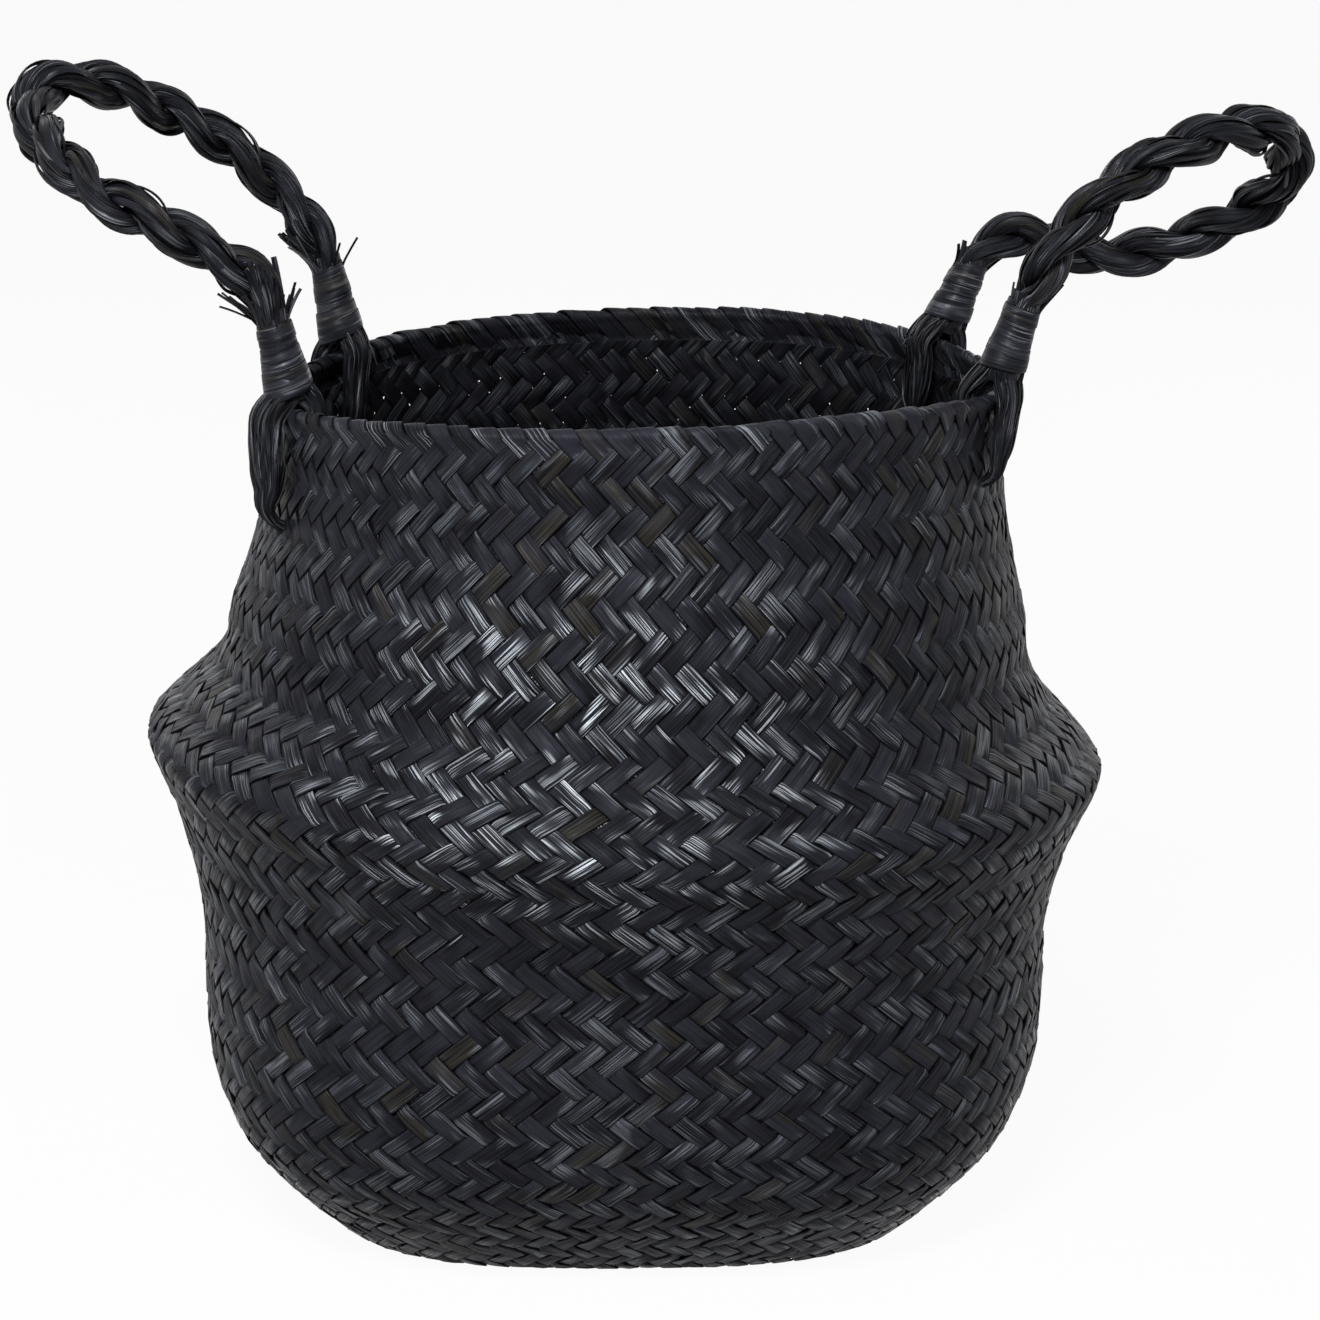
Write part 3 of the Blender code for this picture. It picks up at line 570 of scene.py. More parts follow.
def tubes_mesh(name, points, fibre, material):
    """Closed tubes from points[tube, station, place round the section, xyz].

    Quads join neighbouring sections, and each end is one flat face.
    """
    count, stations, places, _ = points.shape
    grid = np.arange(count * stations * places).reshape(count, stations, places)
    ahead = np.roll(grid, -1, axis=2)
    quads = np.stack([grid[:, :-1], ahead[:, :-1], ahead[:, 1:], grid[:, 1:]], axis=-1)
    quads = quads.reshape(-1, 4)
    ends = np.concatenate([grid[:, 0, ::-1], grid[:, -1]])
    flat = points.reshape(-1, 3)
    a, b, c = (flat[quads[:, k]] for k in range(3))
    d = flat[quads[:, 3]]
    middle = flat.mean(axis=0)
    volume = np.einsum("ij,ij->", a - middle, np.cross(b - middle, c - middle))
    volume += np.einsum("ij,ij->", a - middle, np.cross(c - middle, d - middle))
    if volume < 0:
        quads = quads[:, ::-1]
        ends = ends[:, ::-1]
    corners = np.concatenate([quads.ravel(), ends.ravel()])
    sizes = np.concatenate([np.full(len(quads), 4), np.full(len(ends), places)])
    mesh = bpy.data.meshes.new(name)
    mesh.vertices.add(len(flat))
    mesh.vertices.foreach_set("co", flat.astype(np.float32).ravel())
    mesh.loops.add(len(corners))
    mesh.loops.foreach_set("vertex_index", corners.astype(np.int32))
    mesh.polygons.add(len(sizes))
    starts = np.concatenate([[0], np.cumsum(sizes)[:-1]])
    mesh.polygons.foreach_set("loop_start", starts.astype(np.int32))
    mesh.update(calc_edges=True)
    mesh.shade_smooth()
    mesh.set_sharp_from_angle(angle=SHARP_ANGLE)
    store = mesh.attributes.new("fibre", "FLOAT_VECTOR", "POINT")
    store.data.foreach_set("vector", fibre.astype(np.float32).ravel())
    mesh.materials.append(material)
    piece = bpy.data.objects.new(name, mesh)
    bpy.context.scene.collection.objects.link(piece)
    return piece


def wobble(rng, count, along, amount):
    """Slow sideways drift of each strip: two sines of its length with its own phases."""
    phases = rng.uniform(0.0, 2.0 * math.pi, (2, count, 1, 1))
    pace = rng.uniform(0.12, 0.35, (2, count, 1, 1))
    slow = 0.6 * np.sin(pace[0] * along + phases[0])
    fast = 0.4 * np.sin(2.3 * pace[1] * along + phases[1])
    return amount * (slow + fast)


def strip_stations(wall, places, lean):
    """Crossing numbers of a strip's stations, (station, place): its ends are cut level.

    Strips that lean left end under the last strips that lean right, where the folded strips of
    the rim take over.
    """
    under_top = 0.35 if lean > 0 else 2.6
    clear = 0.62
    low = 2.0 * wall.low
    high = 2.0 * wall.high - under_top
    repeats = np.arange(math.floor(low / 4.0) - 1, math.ceil(high / 4.0) + 2)
    inner = (repeats[:, None] * 4.0 - 1.5 + np.array(STATION_PHASES)[None, :]).ravel()
    inner = inner[(inner > low + clear) & (inner < high - clear)]
    inner = np.repeat(inner[:, None], len(places), axis=1)
    return np.vstack([low + lean * places, inner, high + lean * places])


def fibre_map(points, along, across, number):
    """The attribute "fibre" of points: length along a strip, place across it, its number."""
    fibre = np.empty(points.shape)
    fibre[..., 0] = along
    fibre[..., 1] = across
    fibre[..., 2] = number
    return fibre


def numbered(points, along, across, rng):
    """Points with their attribute "fibre", each strip under a number of its own."""
    number = rng.uniform(0.0, LAST_NUMBER, (len(points), 1, 1))
    return points, fibre_map(points, along, across, number)


def places_across(section, share=1.0):
    """The places of a section's points across a strip, from 0 to share."""
    return (np.array(section)[:, 0] + 0.5) * share


def wall_strips(wall, weave, numbers, lean, rng):
    """Points and fibre coordinates of strips that lean right (lean 1) or left (lean -1).

    At crossing number c and place q across, turn = number + (q + lean c) / 2 and
    level = (c - lean q) / 2; the strip rises and falls with float_wave(c). It sways sideways,
    swells outwards and twists by slow waves, as a handmade one does.
    """
    section = np.array(STRIP_SECTION)
    count = len(numbers)
    sway, swell, twist = 0.04, 0.00018, 0.0009
    across = section[:, 0]
    crossing = strip_stations(wall, across * weave.fill, lean)[None, :, :]
    width = weave.fill * rng.uniform(0.97, 1.035, (count, 1, 1))
    q = across[None, None, :] * width + wobble(rng, count, crossing, sway)
    ends = np.zeros(crossing.shape)
    ends[:, 0] = ends[:, -1] = 1.0
    q = q * (1.0 - ends) + across[None, None, :] * weave.fill * ends
    turn = numbers[:, None, None] + (q + lean * crossing) / 2.0
    level = (crossing - lean * q) / 2.0
    t = weave.thickness
    lift = lean * float_wave(crossing, weave.dive) * weave.heave * t
    lift = lift + section[:, 1][None, None, :] * t * rng.uniform(0.85, 1.2, (count, 1, 1))
    lift = lift + wobble(rng, count, crossing * 3.0, swell)
    lift = lift + across[None, None, :] * wobble(rng, count, crossing * 6.0, twist)
    points = wall.place(turn, level, lift - wall.body.wall / 2)
    return numbered(points, crossing * CROSSING_LENGTH, across + 0.5, rng)


def rim_folds(wall, weave, rng):
    """Points of the strips that come out from under the last row and fold over the rim.

    Outside, a fold follows the weave of the strips that lean left; at the top it turns in a half
    circle, and inside it runs down to the first dive, where it slips under the next row. Both
    ends are thin and lie in the middle of the wall.
    """
    section = np.array(STRIP_SECTION)
    across = section[:, 0][None, None, :]
    count, t, roll = weave.strips, weave.thickness, weave.roll
    top = 2.0 * wall.high
    # Crossings under the top at which a fold shows, stops weaving and starts to roll, and how
    # far one of its edges stands over the next fold
    shows, weaves, rolls, shingle = 1.84, 1.3, 1.45, 0.0007
    crown = top - (roll + t / 2) / weave.row
    outside = top + np.array([-2.75, -2.3, -1.86, -1.7, -1.5, -1.15])
    outside = np.append(outside, crown)[None, :, None]
    q = across * 1.12 + rng.uniform(-0.07, 0.07, (count, 1, 1))
    weaving = 1.0 - ease((outside - top + weaves) / 0.7)
    shown = ease((outside - top + shows) / 0.26)
    rolled = ease((outside - top + rolls) / (crown - top + rolls))
    middle = shown * (weave.heave * t * (1.0 - rolled) + roll * rolled)
    lap = q * shingle * shown * (0.4 + 0.6 * rolled)
    thick = section[:, 1][None, None, :] * t * rng.uniform(0.9, 1.25, (count, 1, 1))
    lift = middle + lap + thick * (0.15 + 0.85 * shown)
    number = np.arange(count)[:, None, None]
    turn = number + (q * (2.0 - weaving) - outside) / 2.0
    outer = wall.place(turn, (outside + q * weaving) / 2.0, lift - wall.body.wall / 2)
    bend = np.linspace(0.0, math.pi, 9)[None, 1:-1, None]
    reach = roll + lap[:, -1:] + thick
    turned = turn[:, -1:] - bend * roll / (2.0 * weave.row)
    rise = np.sin(bend) * (reach + rng.uniform(-0.0003, 0.0005, (count, 1, 1)))
    over = wall.over(turned, crown / 2.0, np.cos(bend) * reach, rise)
    inside = np.array([0.0, 0.2, 0.45, 0.9, 1.25, 1.45, 1.65, 2.1])[None, :, None]
    hidden = ease((inside - (crown - top + 1.55)) / 0.3)
    inside = inside * rng.choice([1.0, 1.0, 1.35, 1.7], (count, 1, 1))
    depth = (roll + (1.25 * t - roll) * ease(inside / 0.6)) * (1.0 - hidden)
    lift = -depth - (lap[:, -1:] + thick) * (1.0 - 0.85 * hidden)
    turned = turn[:, -1:] - math.pi * roll / (2.0 * weave.row) - inside / 2.0
    inner = wall.place(turned, (crown - inside) / 2.0 + 0.0 * q, lift - wall.body.wall / 2)
    points = np.concatenate([outer, over, inner], axis=1)
    along = np.linspace(0.0, 0.03, points.shape[1])[None, :, None]
    return numbered(points, along, across + 0.5, rng)


def mat_strips(weave, body, lean, rng):
    """Points of the base mat's strips, along X (lean 1) or along Y (lean -1).

    A strip at offset o ends where the rounded square does, at (r^p - |o|^p)^(1/p), and each
    place across its end is cut there too.
    """
    section = np.array(STRIP_SECTION)
    pitch = weave.base_pitch
    middle, lowest = 0.0014, 0.0001
    radius = body.base_radius - 0.0002
    half = int(radius / pitch)
    numbers = np.arange(-half, half + 1)
    numbers = numbers[np.abs(numbers * pitch) < radius * 0.985]
    offset = numbers * pitch
    power = body.squareness
    edge = np.minimum(np.abs(offset) + pitch / 2, radius * 0.995)
    reach = (radius**power - edge**power) ** (1.0 / power)
    along = reach[:, None, None] * np.linspace(-1.0, 1.0, 4 * (2 * half + 1))[None, :, None]
    crossing = along / pitch - lean * numbers[:, None, None]
    across = section[:, 0][None, None, :]
    q = offset[:, None, None] + across * pitch * weave.fill
    cut = (radius**power - np.minimum(np.abs(q), radius * 0.995) ** power) ** (1.0 / power)
    along = np.concatenate([-cut, np.repeat(along[:, 1:-1], len(section), axis=2), cut], axis=1)
    t = weave.thickness * 0.9
    z = middle + lean * float_wave(crossing, 0.45) * weave.heave * t + section[:, 1] * t
    along, q, z = np.broadcast_arrays(along, q, np.maximum(z, lowest))
    pair = (along, q) if lean > 0 else (q, along)
    points = np.stack([*pair, z], axis=-1)
    return numbered(points, along, across + 0.5, rng)


def through_points(points, steps):
    """A smooth curve through points, each stretch a cubic whose ends follow their neighbours."""
    points = np.asarray(points, float)
    t = np.linspace(0.0, 1.0, steps, endpoint=False)[None, :, None]
    before, first, second, after = (points[k : len(points) - 3 + k][:, None, :] for k in range(4))
    curve = (
        first * (2 * t**3 - 3 * t**2 + 1)
        + (second - before) / 2 * (t**3 - 2 * t**2 + t)
        + second * (3 * t**2 - 2 * t**3)
        + (after - first) / 2 * (t**3 - t**2)
    )
    return np.vstack([curve.reshape(-1, 3), points[-2:-1]])


def spaced(curve, count):
    """The same curve with evenly spaced points, and its length."""
    steps = np.linalg.norm(np.diff(curve, axis=0), axis=1)
    travelled = np.concatenate([[0.0], np.cumsum(steps)])
    marks = np.linspace(0.0, travelled[-1], count)
    moved = np.column_stack([np.interp(marks, travelled, curve[:, k]) for k in range(3)])
    return moved, travelled[-1]


def unit(vector):
    return vector / np.linalg.norm(vector, axis=-1, keepdims=True)


def square_to(vector, flow):
    """The part of a vector at right angles to a unit direction, one long."""
    return unit(vector - flow * np.sum(vector * flow, axis=-1, keepdims=True))


def carried_frames(path, start):
    """Directions across a path that never roll about it, carried from a first one."""
    tangent = unit(np.gradient(path, axis=0))
    normal = np.empty(path.shape)
    last = np.asarray(start, float)
    for k, t in enumerate(tangent):
        last = last - t * (last @ t)
        last = last / np.linalg.norm(last)
        normal[k] = last
    return tangent, normal, np.cross(tangent, normal)


def ribbons(centre, wide, thick, width, depth, section):
    """Points round a section along lines: centre + wide x width + thick y depth."""
    section = np.array(section)
    width, depth = np.broadcast_arrays(width, depth)
    x = (section[:, 0] * width[..., None])[..., None]
    y = (section[:, 1] * depth[..., None])[..., None]
    return centre[..., None, :] + wide[..., None, :] * x + thick[..., None, :] * y


def drift(rng, count, run, slow, fast):
    """Waves between -1 and 1 along each of count lines, with their own phases and paces."""
    phase = rng.uniform(0.0, 2.0 * math.pi, (2, count, 1))
    pace = rng.uniform(slow, fast, (2, count, 1))
    return 0.6 * np.sin(pace[0] * run + phase[0]) + 0.4 * np.sin(1.9 * pace[1] * run + phase[1])


class Handle:
    """Places of one rope handle, side -1 left or +1 right, and of its two feet."""

    def __init__(self, wall, body, sizes, side):
        self.wall, self.body, self.sizes, self.side = wall, body, sizes, side
        self.hand = "right" if side > 0 else "left"
        self.outward = np.array([side * math.cos(sizes.skew), math.sin(sizes.skew), 0.0])
        lift = 0.0 if side > 0 else sizes.left_lift
        self.backward = unit(np.array([-side * math.sin(sizes.skew), math.cos(sizes.skew), lift]))
        foot = body.rim_radius - body.wall / 2
        self.half_span = foot * math.sin(sizes.foot_angle)
        chord = self.outward * foot * math.cos(sizes.foot_angle)
        tilt = body.rim_tilt / body.belly_radius * chord[0]
        sag = body.right_sag if side > 0 else body.left_sag
        sag = sag * (abs(chord[0]) / body.rim_radius) ** 4
        axis_out = sizes.right_out if side > 0 else sizes.left_out
        rise = body.body_height + tilt - sag + sizes.axis_rise
        self.origin = chord + self.outward * axis_out + np.array([body.lean, 0.0, rise])
        self.eyelet = sizes.right_eyelet if side > 0 else sizes.left_eyelet

    def name(self, end):
        return self.hand + ("_back" if end > 0 else "_front")

    def axis(self, end):
        lean = math.radians(LASHING_LEAN[self.name(end)])
        return self.outward * math.sin(lean) + np.array([0.0, 0.0, math.cos(lean)])

    def foot(self, end):
        """The bottom of a bound end."""
        on_axis = self.origin + self.backward * (end * self.half_span)
        return on_axis - self.axis(end) * self.sizes.bundle_drop

    def upright(self, end):
        """Across directions of a bound end: outwards, and along the rim."""
        axis = self.axis(end)
        out = unit(self.outward - axis * (axis @ self.outward))
        return out, np.cross(axis, out)

    def around(self, end, angle):
        """Directions away from a bound end's axis, at an angle from outwards to the rim."""
        out, rim = self.upright(end)
        return out * np.cos(angle)[..., None] + rim * np.sin(angle)[..., None]

    def girth(self, share):
        """Radius of a bound end a share of the way up."""
        return towards(self.sizes.bundle_bottom, self.sizes.bundle_top, share)

    def radial(self, end):
        """Angle of a foot about the body's axis."""
        angle = self.sizes.skew + end * self.sizes.foot_angle
        return angle if self.side > 0 else math.pi - angle

    def route(self, inset):
        """The rope's middle line; it starts and ends an inset inside the bound ends."""
        sizes = self.sizes
        shares = RIGHT_ROUTE_SHARES if self.side > 0 else LEFT_ROUTE_SHARES
        middle = [
            self.origin + self.outward * (x * sizes.reach) + self.backward * (y * self.half_span)
            + np.array([0.0, 0.0, z * sizes.rise])
            for x, y, z in shares
        ]
        ends = {}
        for end in (-1, 1):
            top = self.foot(end) + self.axis(end) * (sizes.bundle_length + 0.002)
            low = self.foot(end) + self.axis(end) * (sizes.bundle_length - inset)
            ends[end] = [low - self.axis(end) * inset, low, top]
        return through_points([*ends[-1], *middle, *reversed(ends[1])], 16)

    def plies(self, stations):
        """Middle lines of the two plies, with the directions away from the rope and across."""
        sizes = self.sizes
        inset, twist_start, tapering = 0.009, 0.011, 0.030
        route, length = spaced(self.route(inset), stations)
        start = np.cross([0.0, 0.0, 1.0], self.axis(-1))
        _, normal, side = carried_frames(route, start)
        travelled = np.linspace(0.0, length, stations)
        taper = 0.60 + 0.40 * ease(np.minimum(travelled, length - travelled) / tapering)
        turned = 2.0 * math.pi * (travelled - twist_start) / sizes.pitch
        angle = np.array([0.0, math.pi])[:, None] + turned[None, :]
        reach = sizes.ply * 0.93 * taper[None, :]
        offset = normal[None] * (np.cos(angle) * reach)[..., None]
        offset = offset + side[None] * (np.sin(angle) * reach)[..., None]
        centres = route[None] + offset
        flow = unit(np.gradient(centres, axis=1))
        out = square_to(offset, flow)
        return centres, out, np.cross(flow, out), travelled, taper


def rope_cores(handle):
    """Points of the two plies' solid middles, plain round tubes."""
    stations, places = 150, 10
    centres, out, wide, travelled, taper = handle.plies(stations)
    around = np.linspace(0.0, 2.0 * math.pi, places, endpoint=False)
    ring = np.stack([np.cos(around), np.sin(around)], axis=-1)
    radius = handle.sizes.ply * 0.80 * taper
    points = ribbons(centres, out, wide, radius[None], radius[None] * 1.05, ring)
    across = 2.0 + np.abs(np.sin(around / 2.0))
    return points, fibre_map(points, travelled[None, :, None], across, 4.0)


def ply_strips(handle, ply, rng):
    """Points of the narrow strips of one ply, laid side by side round its middle.

    A strip at angle w round the middle lies at centre + r (out cos w + wide sin w). w turns
    against the rope's twist, so that the strips run nearly along the rope; w and r wander
    slowly, and now and then a strip stands off the ply in a short arch.
    """
    count, stations = 18, 230
    centres, out, wide, travelled, taper = handle.plies(stations)
    centres, out, wide = centres[ply], out[ply], wide[ply]
    run = travelled[None, :] * 1000.0
    angle = np.linspace(0.0, 2.0 * math.pi, count, endpoint=False)[:, None]
    angle = angle + rng.uniform(-0.12, 0.12, (count, 1)) + 0.30 * drift(rng, count, run, 0.03, 0.08)
    turns_back = 1.35
    angle = angle - turns_back * 2.0 * math.pi * travelled[None, :] / handle.sizes.pitch
    loose = np.maximum(drift(rng, count, run, 0.06, 0.14) - 0.55, 0.0) * taper**6
    radius = 0.83 + 0.10 * drift(rng, count, run, 0.05, 0.16) + 0.75 * loose
    radius = radius * taper * handle.sizes.ply
    radial = out[None] * np.cos(angle)[..., None] + wide[None] * (np.sin(angle) * 1.08)[..., None]
    level = wide[None] * np.cos(angle)[..., None] - out[None] * np.sin(angle)[..., None]
    centre = centres[None] + radial * radius[..., None]
    roll = 0.42 * drift(rng, count, run, 0.06, 0.2)[..., None]
    across = level * np.cos(roll) + radial * np.sin(roll)
    normal = radial * np.cos(roll) - level * np.sin(roll)
    width = handle.sizes.ply * rng.uniform(0.42, 0.72, (count, 1)) * taper
    width = width * (1.0 + 0.18 * drift(rng, count, run, 0.1, 0.3))
    points = ribbons(centre, across, normal, width, 0.00075, FIBRE_SECTION)
    across = places_across(FIBRE_SECTION, 0.42)
    return numbered(points, travelled[None, :, None], across, rng)


def bound_end(handle, end, rng):
    """Points of the gathered fibres inside a lashing: strips round a foot's axis."""
    sizes = handle.sizes
    count, stations = 18, 14
    share = np.linspace(-0.07, 1.12, stations)[None, :]
    radius = handle.girth(np.clip(share, 0.0, 1.0))
    waist = 0.90 - 0.12 * ease(-share * 8.0)
    radius = radius * (waist + 0.05 * drift(rng, count, share, 6.0, 12.0))
    angle = np.linspace(0.0, 2.0 * math.pi, count, endpoint=False)[:, None]
    angle = angle + 0.12 * drift(rng, count, share, 2.0, 5.0)
    axis = handle.axis(end)
    outward = handle.around(end, angle)
    along = np.cross(np.broadcast_to(axis, outward.shape), outward)
    centre = handle.foot(end) + axis * (share * sizes.bundle_length)[..., None]
    centre = centre + outward * radius[..., None]
    points = ribbons(centre, along, outward, 0.0030, 0.0012, FIBRE_SECTION)
    across = places_across(FIBRE_SECTION, 0.4)
    return numbered(points, (share * sizes.bundle_length)[..., None], across, rng)


def binding(handle, end, rng):
    """Points of the flat strip wound round a bound end, an unbroken helix.

    The pitch falls from a wide lowest turn to narrow ones: p = a + b exp(-turns / 1.3), and
    each turn laps the one under it.
    """
    sizes = handle.sizes
    turns, per_turn = 8.6, 30
    flare = 0.0009 if handle.name(end) == "left_front" else 0.0002
    angle = np.linspace(0.0, 2.0 * math.pi * turns, int(turns * per_turn))
    turn = angle / (2.0 * math.pi)
    pitch = 1.0 + 2.4 * np.exp(-turn / 1.3) + 0.25 * np.sin(1.7 * turn + rng.uniform(0.0, 6.0))
    height = np.concatenate([[0.0], np.cumsum((pitch[1:] + pitch[:-1]) / 2)])
    low, high = 0.0016, sizes.bundle_length - 0.0012
    scale = (high - low) / height[-1]
    height = low + height * scale
    share = height / sizes.bundle_length
    overlap, full_depth, full_width = 1.25, 0.0009, 0.0052
    width = pitch * scale * per_turn * overlap
    depth = full_depth * np.clip(width / full_width, 0.35, 1.0)
    tilted = height + 0.0007 * np.sin(angle + rng.uniform(0.0, 6.0)) * np.minimum(turn, 1.0)
    radius = handle.girth(share)
    radius = radius + 0.0004 + 0.0005 * (1.0 - share) + flare * (1.0 - share) ** 2
    radius = radius + 0.00012 * np.sin(2.3 * angle) + 0.00018 * np.sin(1.3 * turn + end)
    axis = handle.axis(end)
    outward = handle.around(end, angle)
    centre = handle.foot(end) + outward * radius[:, None] + axis * tilted[:, None]
    slant = 0.09
    wide = unit(axis[None] - outward * slant)
    thick = unit(outward + axis[None] * slant)
    points = ribbons(centre[None], wide[None], thick[None], width[None], depth[None], STRIP_SECTION)
    across = places_across(STRIP_SECTION)
    along = (angle * WINDING_LENGTH)[None, :, None]
    return points, fibre_map(points, along, across, 9.0 + 3.0 * end + 5.0 * handle.side)


def bent_fibres(root, outward, axis, step, bend, sunk, wide, width):
    """Points of flat fibres that leave an axis: each step goes step (outward sin b + axis cos b).

    b is bend at that step, and the roots lie a length sunk back along the axis.
    """
    sideways = np.cumsum(step * np.sin(bend), axis=1)[..., None]
    along = (np.cumsum(step * np.cos(bend), axis=1) - sunk)[..., None]
    centre = root[:, None, :] + outward[:, None, :] * sideways + axis * along
    flow = unit(np.gradient(centre, axis=1))
    wide = square_to(wide[:, None, :], flow)
    return ribbons(centre, wide, np.cross(flow, wide), width, FIBRE_DEPTH, FIBRE_SECTION)


def frayed_ends(handle, end, rng):
    """Points of cut strip ends that stand over a lashing, in bunches that lean outwards."""
    sizes = handle.sizes
    bunches = FRAYS[handle.name(end)]
    spread = np.concatenate([np.repeat([row[:3]], row[3], axis=0) for row in bunches])
    count, stations = len(spread), 7
    bearing = np.radians(spread[:, 0] * handle.side) + rng.normal(0.0, 0.5, count)
    lean = np.radians(spread[:, 1]) + rng.normal(0.0, 0.09, count)
    rooted = 0.004
    length = FRAY_LENGTH * spread[:, 2] * rng.uniform(0.72, 1.08, count) + rooted
    axis = handle.axis(end)
    outward = handle.around(end, bearing)
    run = np.linspace(0.0, 1.0, stations)[None, :]
    crook = rng.uniform(-0.12, 0.30, (count, 1))
    bend = lean[:, None] * ease(run * 2.2) + crook * run**2
    step = length[:, None] / (stations - 1)
    root = handle.foot(end) + axis * (sizes.bundle_length - 0.002)
    root = root + outward * (sizes.bundle_top * rng.uniform(0.75, 1.05, (count, 1)))
    spin = rng.uniform(-0.8, 0.8, (count, 1))
    wide = unit(np.cross(axis, outward) * np.cos(spin) + outward * np.sin(spin))
    width = rng.uniform(0.0014, 0.0034, (count, 1)) * (1.0 - 0.2 * run)
    points = bent_fibres(root, outward, axis, step, bend, rooted, wide, width)
    across = places_across(FIBRE_SECTION, 0.4)
    return numbered(points, (length[:, None] * run)[..., None], across, rng)


def loop_line(handle, end):
    """Middle line of a loop: down outside the wall, through it and up inside."""
    sizes, body, wall = handle.sizes, handle.body, handle.wall
    thick, _, bulge, sunk, to_front = LOOP_SHARES[handle.name(end)]
    eye = body.body_height - handle.eyelet * sunk
    deep = sizes.loop_depth * thick / 2
    bulge = sizes.loop_bulge * bulge
    outer = body.rim_radius + 0.0008 + deep + bulge
    inner = body.rim_radius - body.wall - 0.0018 - min(deep, sizes.loop_depth / 2)
    stand = body.body_height - sizes.loop_depth
    middle = (stand + eye) / 2
    at_eye = float(np.interp(eye, wall.height, wall.radius)) - body.wall / 2
    skin = at_eye + body.wall / 2
    places = np.array([
        (outer - bulge, body.body_height), (outer, stand), (outer, middle),
        (skin + deep * 0.95 + bulge, eye + 0.0095), (skin + 0.0030, eye + 0.0038), (at_eye, eye),
        (at_eye - body.wall - 0.0031, eye + 0.0008), (at_eye - body.wall - 0.0050, eye + 0.0062),
        (inner, middle), (inner, stand), (inner, body.body_height),
    ])
    angle = handle.radial(end)
    sunk_share = ease((body.body_height - places[:, 1]) / handle.eyelet)
    shift = -handle.side * math.radians(to_front) * sunk_share
    stations = wall.settle(angle + shift, places[:, 0], places[:, 1], places[:, 1])
    axis = handle.axis(end)
    radial = np.array([math.cos(angle), math.sin(angle), 0.0])
    across = unit(radial - axis * (radial @ axis))
    start = handle.foot(end) + axis * 0.002
    apart = across * sizes.bundle_bottom
    lead = axis * sizes.bundle_drop * 0.9
    first, last = start + apart * 0.12, start - apart * 0.5
    line = [first + lead, first, *stations, last, last + lead]
    return through_points(line, 6), stations[5]


def loop_hank(handle, end, rng):
    """Points of a loop's loose strips, which fill an oval round its line.

    A strip keeps its place (a cos w, b sin w) in the oval, where w drifts slowly; the oval
    is narrow in the eyelet and close together under the lashing.
    """
    sizes = handle.sizes
    thick_share, wide_share = LOOP_SHARES[handle.name(end)][:2]
    count, stations = 76, 60
    line, eye = loop_line(handle, end)
    line, length = spaced(line, stations)
    angle = handle.radial(end)
    rim = np.array([-math.sin(angle), math.cos(angle), 0.0])
    tangent = unit(np.gradient(line, axis=0))
    wide = unit(rim - tangent * (tangent @ rim)[:, None])
    thick = np.cross(tangent, wide)
    half = handle.eyelet / 2
    to_eye = ease(np.linalg.norm(line - eye, axis=1) / half - 0.12)
    to_top = ease(np.linalg.norm(line - handle.foot(end), axis=1) / half)
    eye_broad, eye_deep, top_broad, top_deep = 0.0026, 0.0014, 0.0066, 0.0044
    broad = towards(eye_broad, sizes.loop_width * 0.56 * wide_share, to_eye)
    broad = towards(top_broad, broad, to_top)
    run = np.linspace(0.0, 1.0, stations)
    inner = ease((run - 0.5) / 0.1)
    broad = broad * (1.0 - 0.18 * inner)
    deep = sizes.loop_depth * 0.5 * towards(thick_share, min(thick_share, 1.0), inner)
    deep = towards(eye_deep, deep, to_eye)
    deep = towards(top_deep, deep, to_top)
    run = run[None, :]
    place = np.linspace(0.0, 2.0 * math.pi, count, endpoint=False)[:, None]
    place = place + 0.35 * drift(rng, count, run, 4.0, 9.0)
    fill = rng.uniform(0.45, 1.0, (count, 1)) + 0.14 * drift(rng, count, run, 5.0, 12.0)
    x = broad[None] * np.cos(place) * fill
    y = deep[None] * np.sin(place) * fill
    centre = line[None] + wide[None] * x[..., None] + thick[None] * y[..., None]
    roll = place + math.pi / 2 + rng.uniform(-0.7, 0.7, (count, 1))
    roll = roll + 0.6 * drift(rng, count, run, 3.0, 8.0)
    flat = wide[None] * np.cos(roll)[..., None] + thick[None] * np.sin(roll)[..., None]
    edge = np.cross(np.broadcast_to(tangent[None], flat.shape), flat)
    width = 0.0006 + 0.0023 * rng.uniform(0.0, 1.0, (count, 1)) ** 1.7
    width = width * (0.75 + 0.25 * to_eye[None])
    points = ribbons(centre, flat, edge, width, 0.00042, FIBRE_SECTION)
    across = places_across(FIBRE_SECTION)
    return numbered(points, (run * length)[..., None], across, rng)


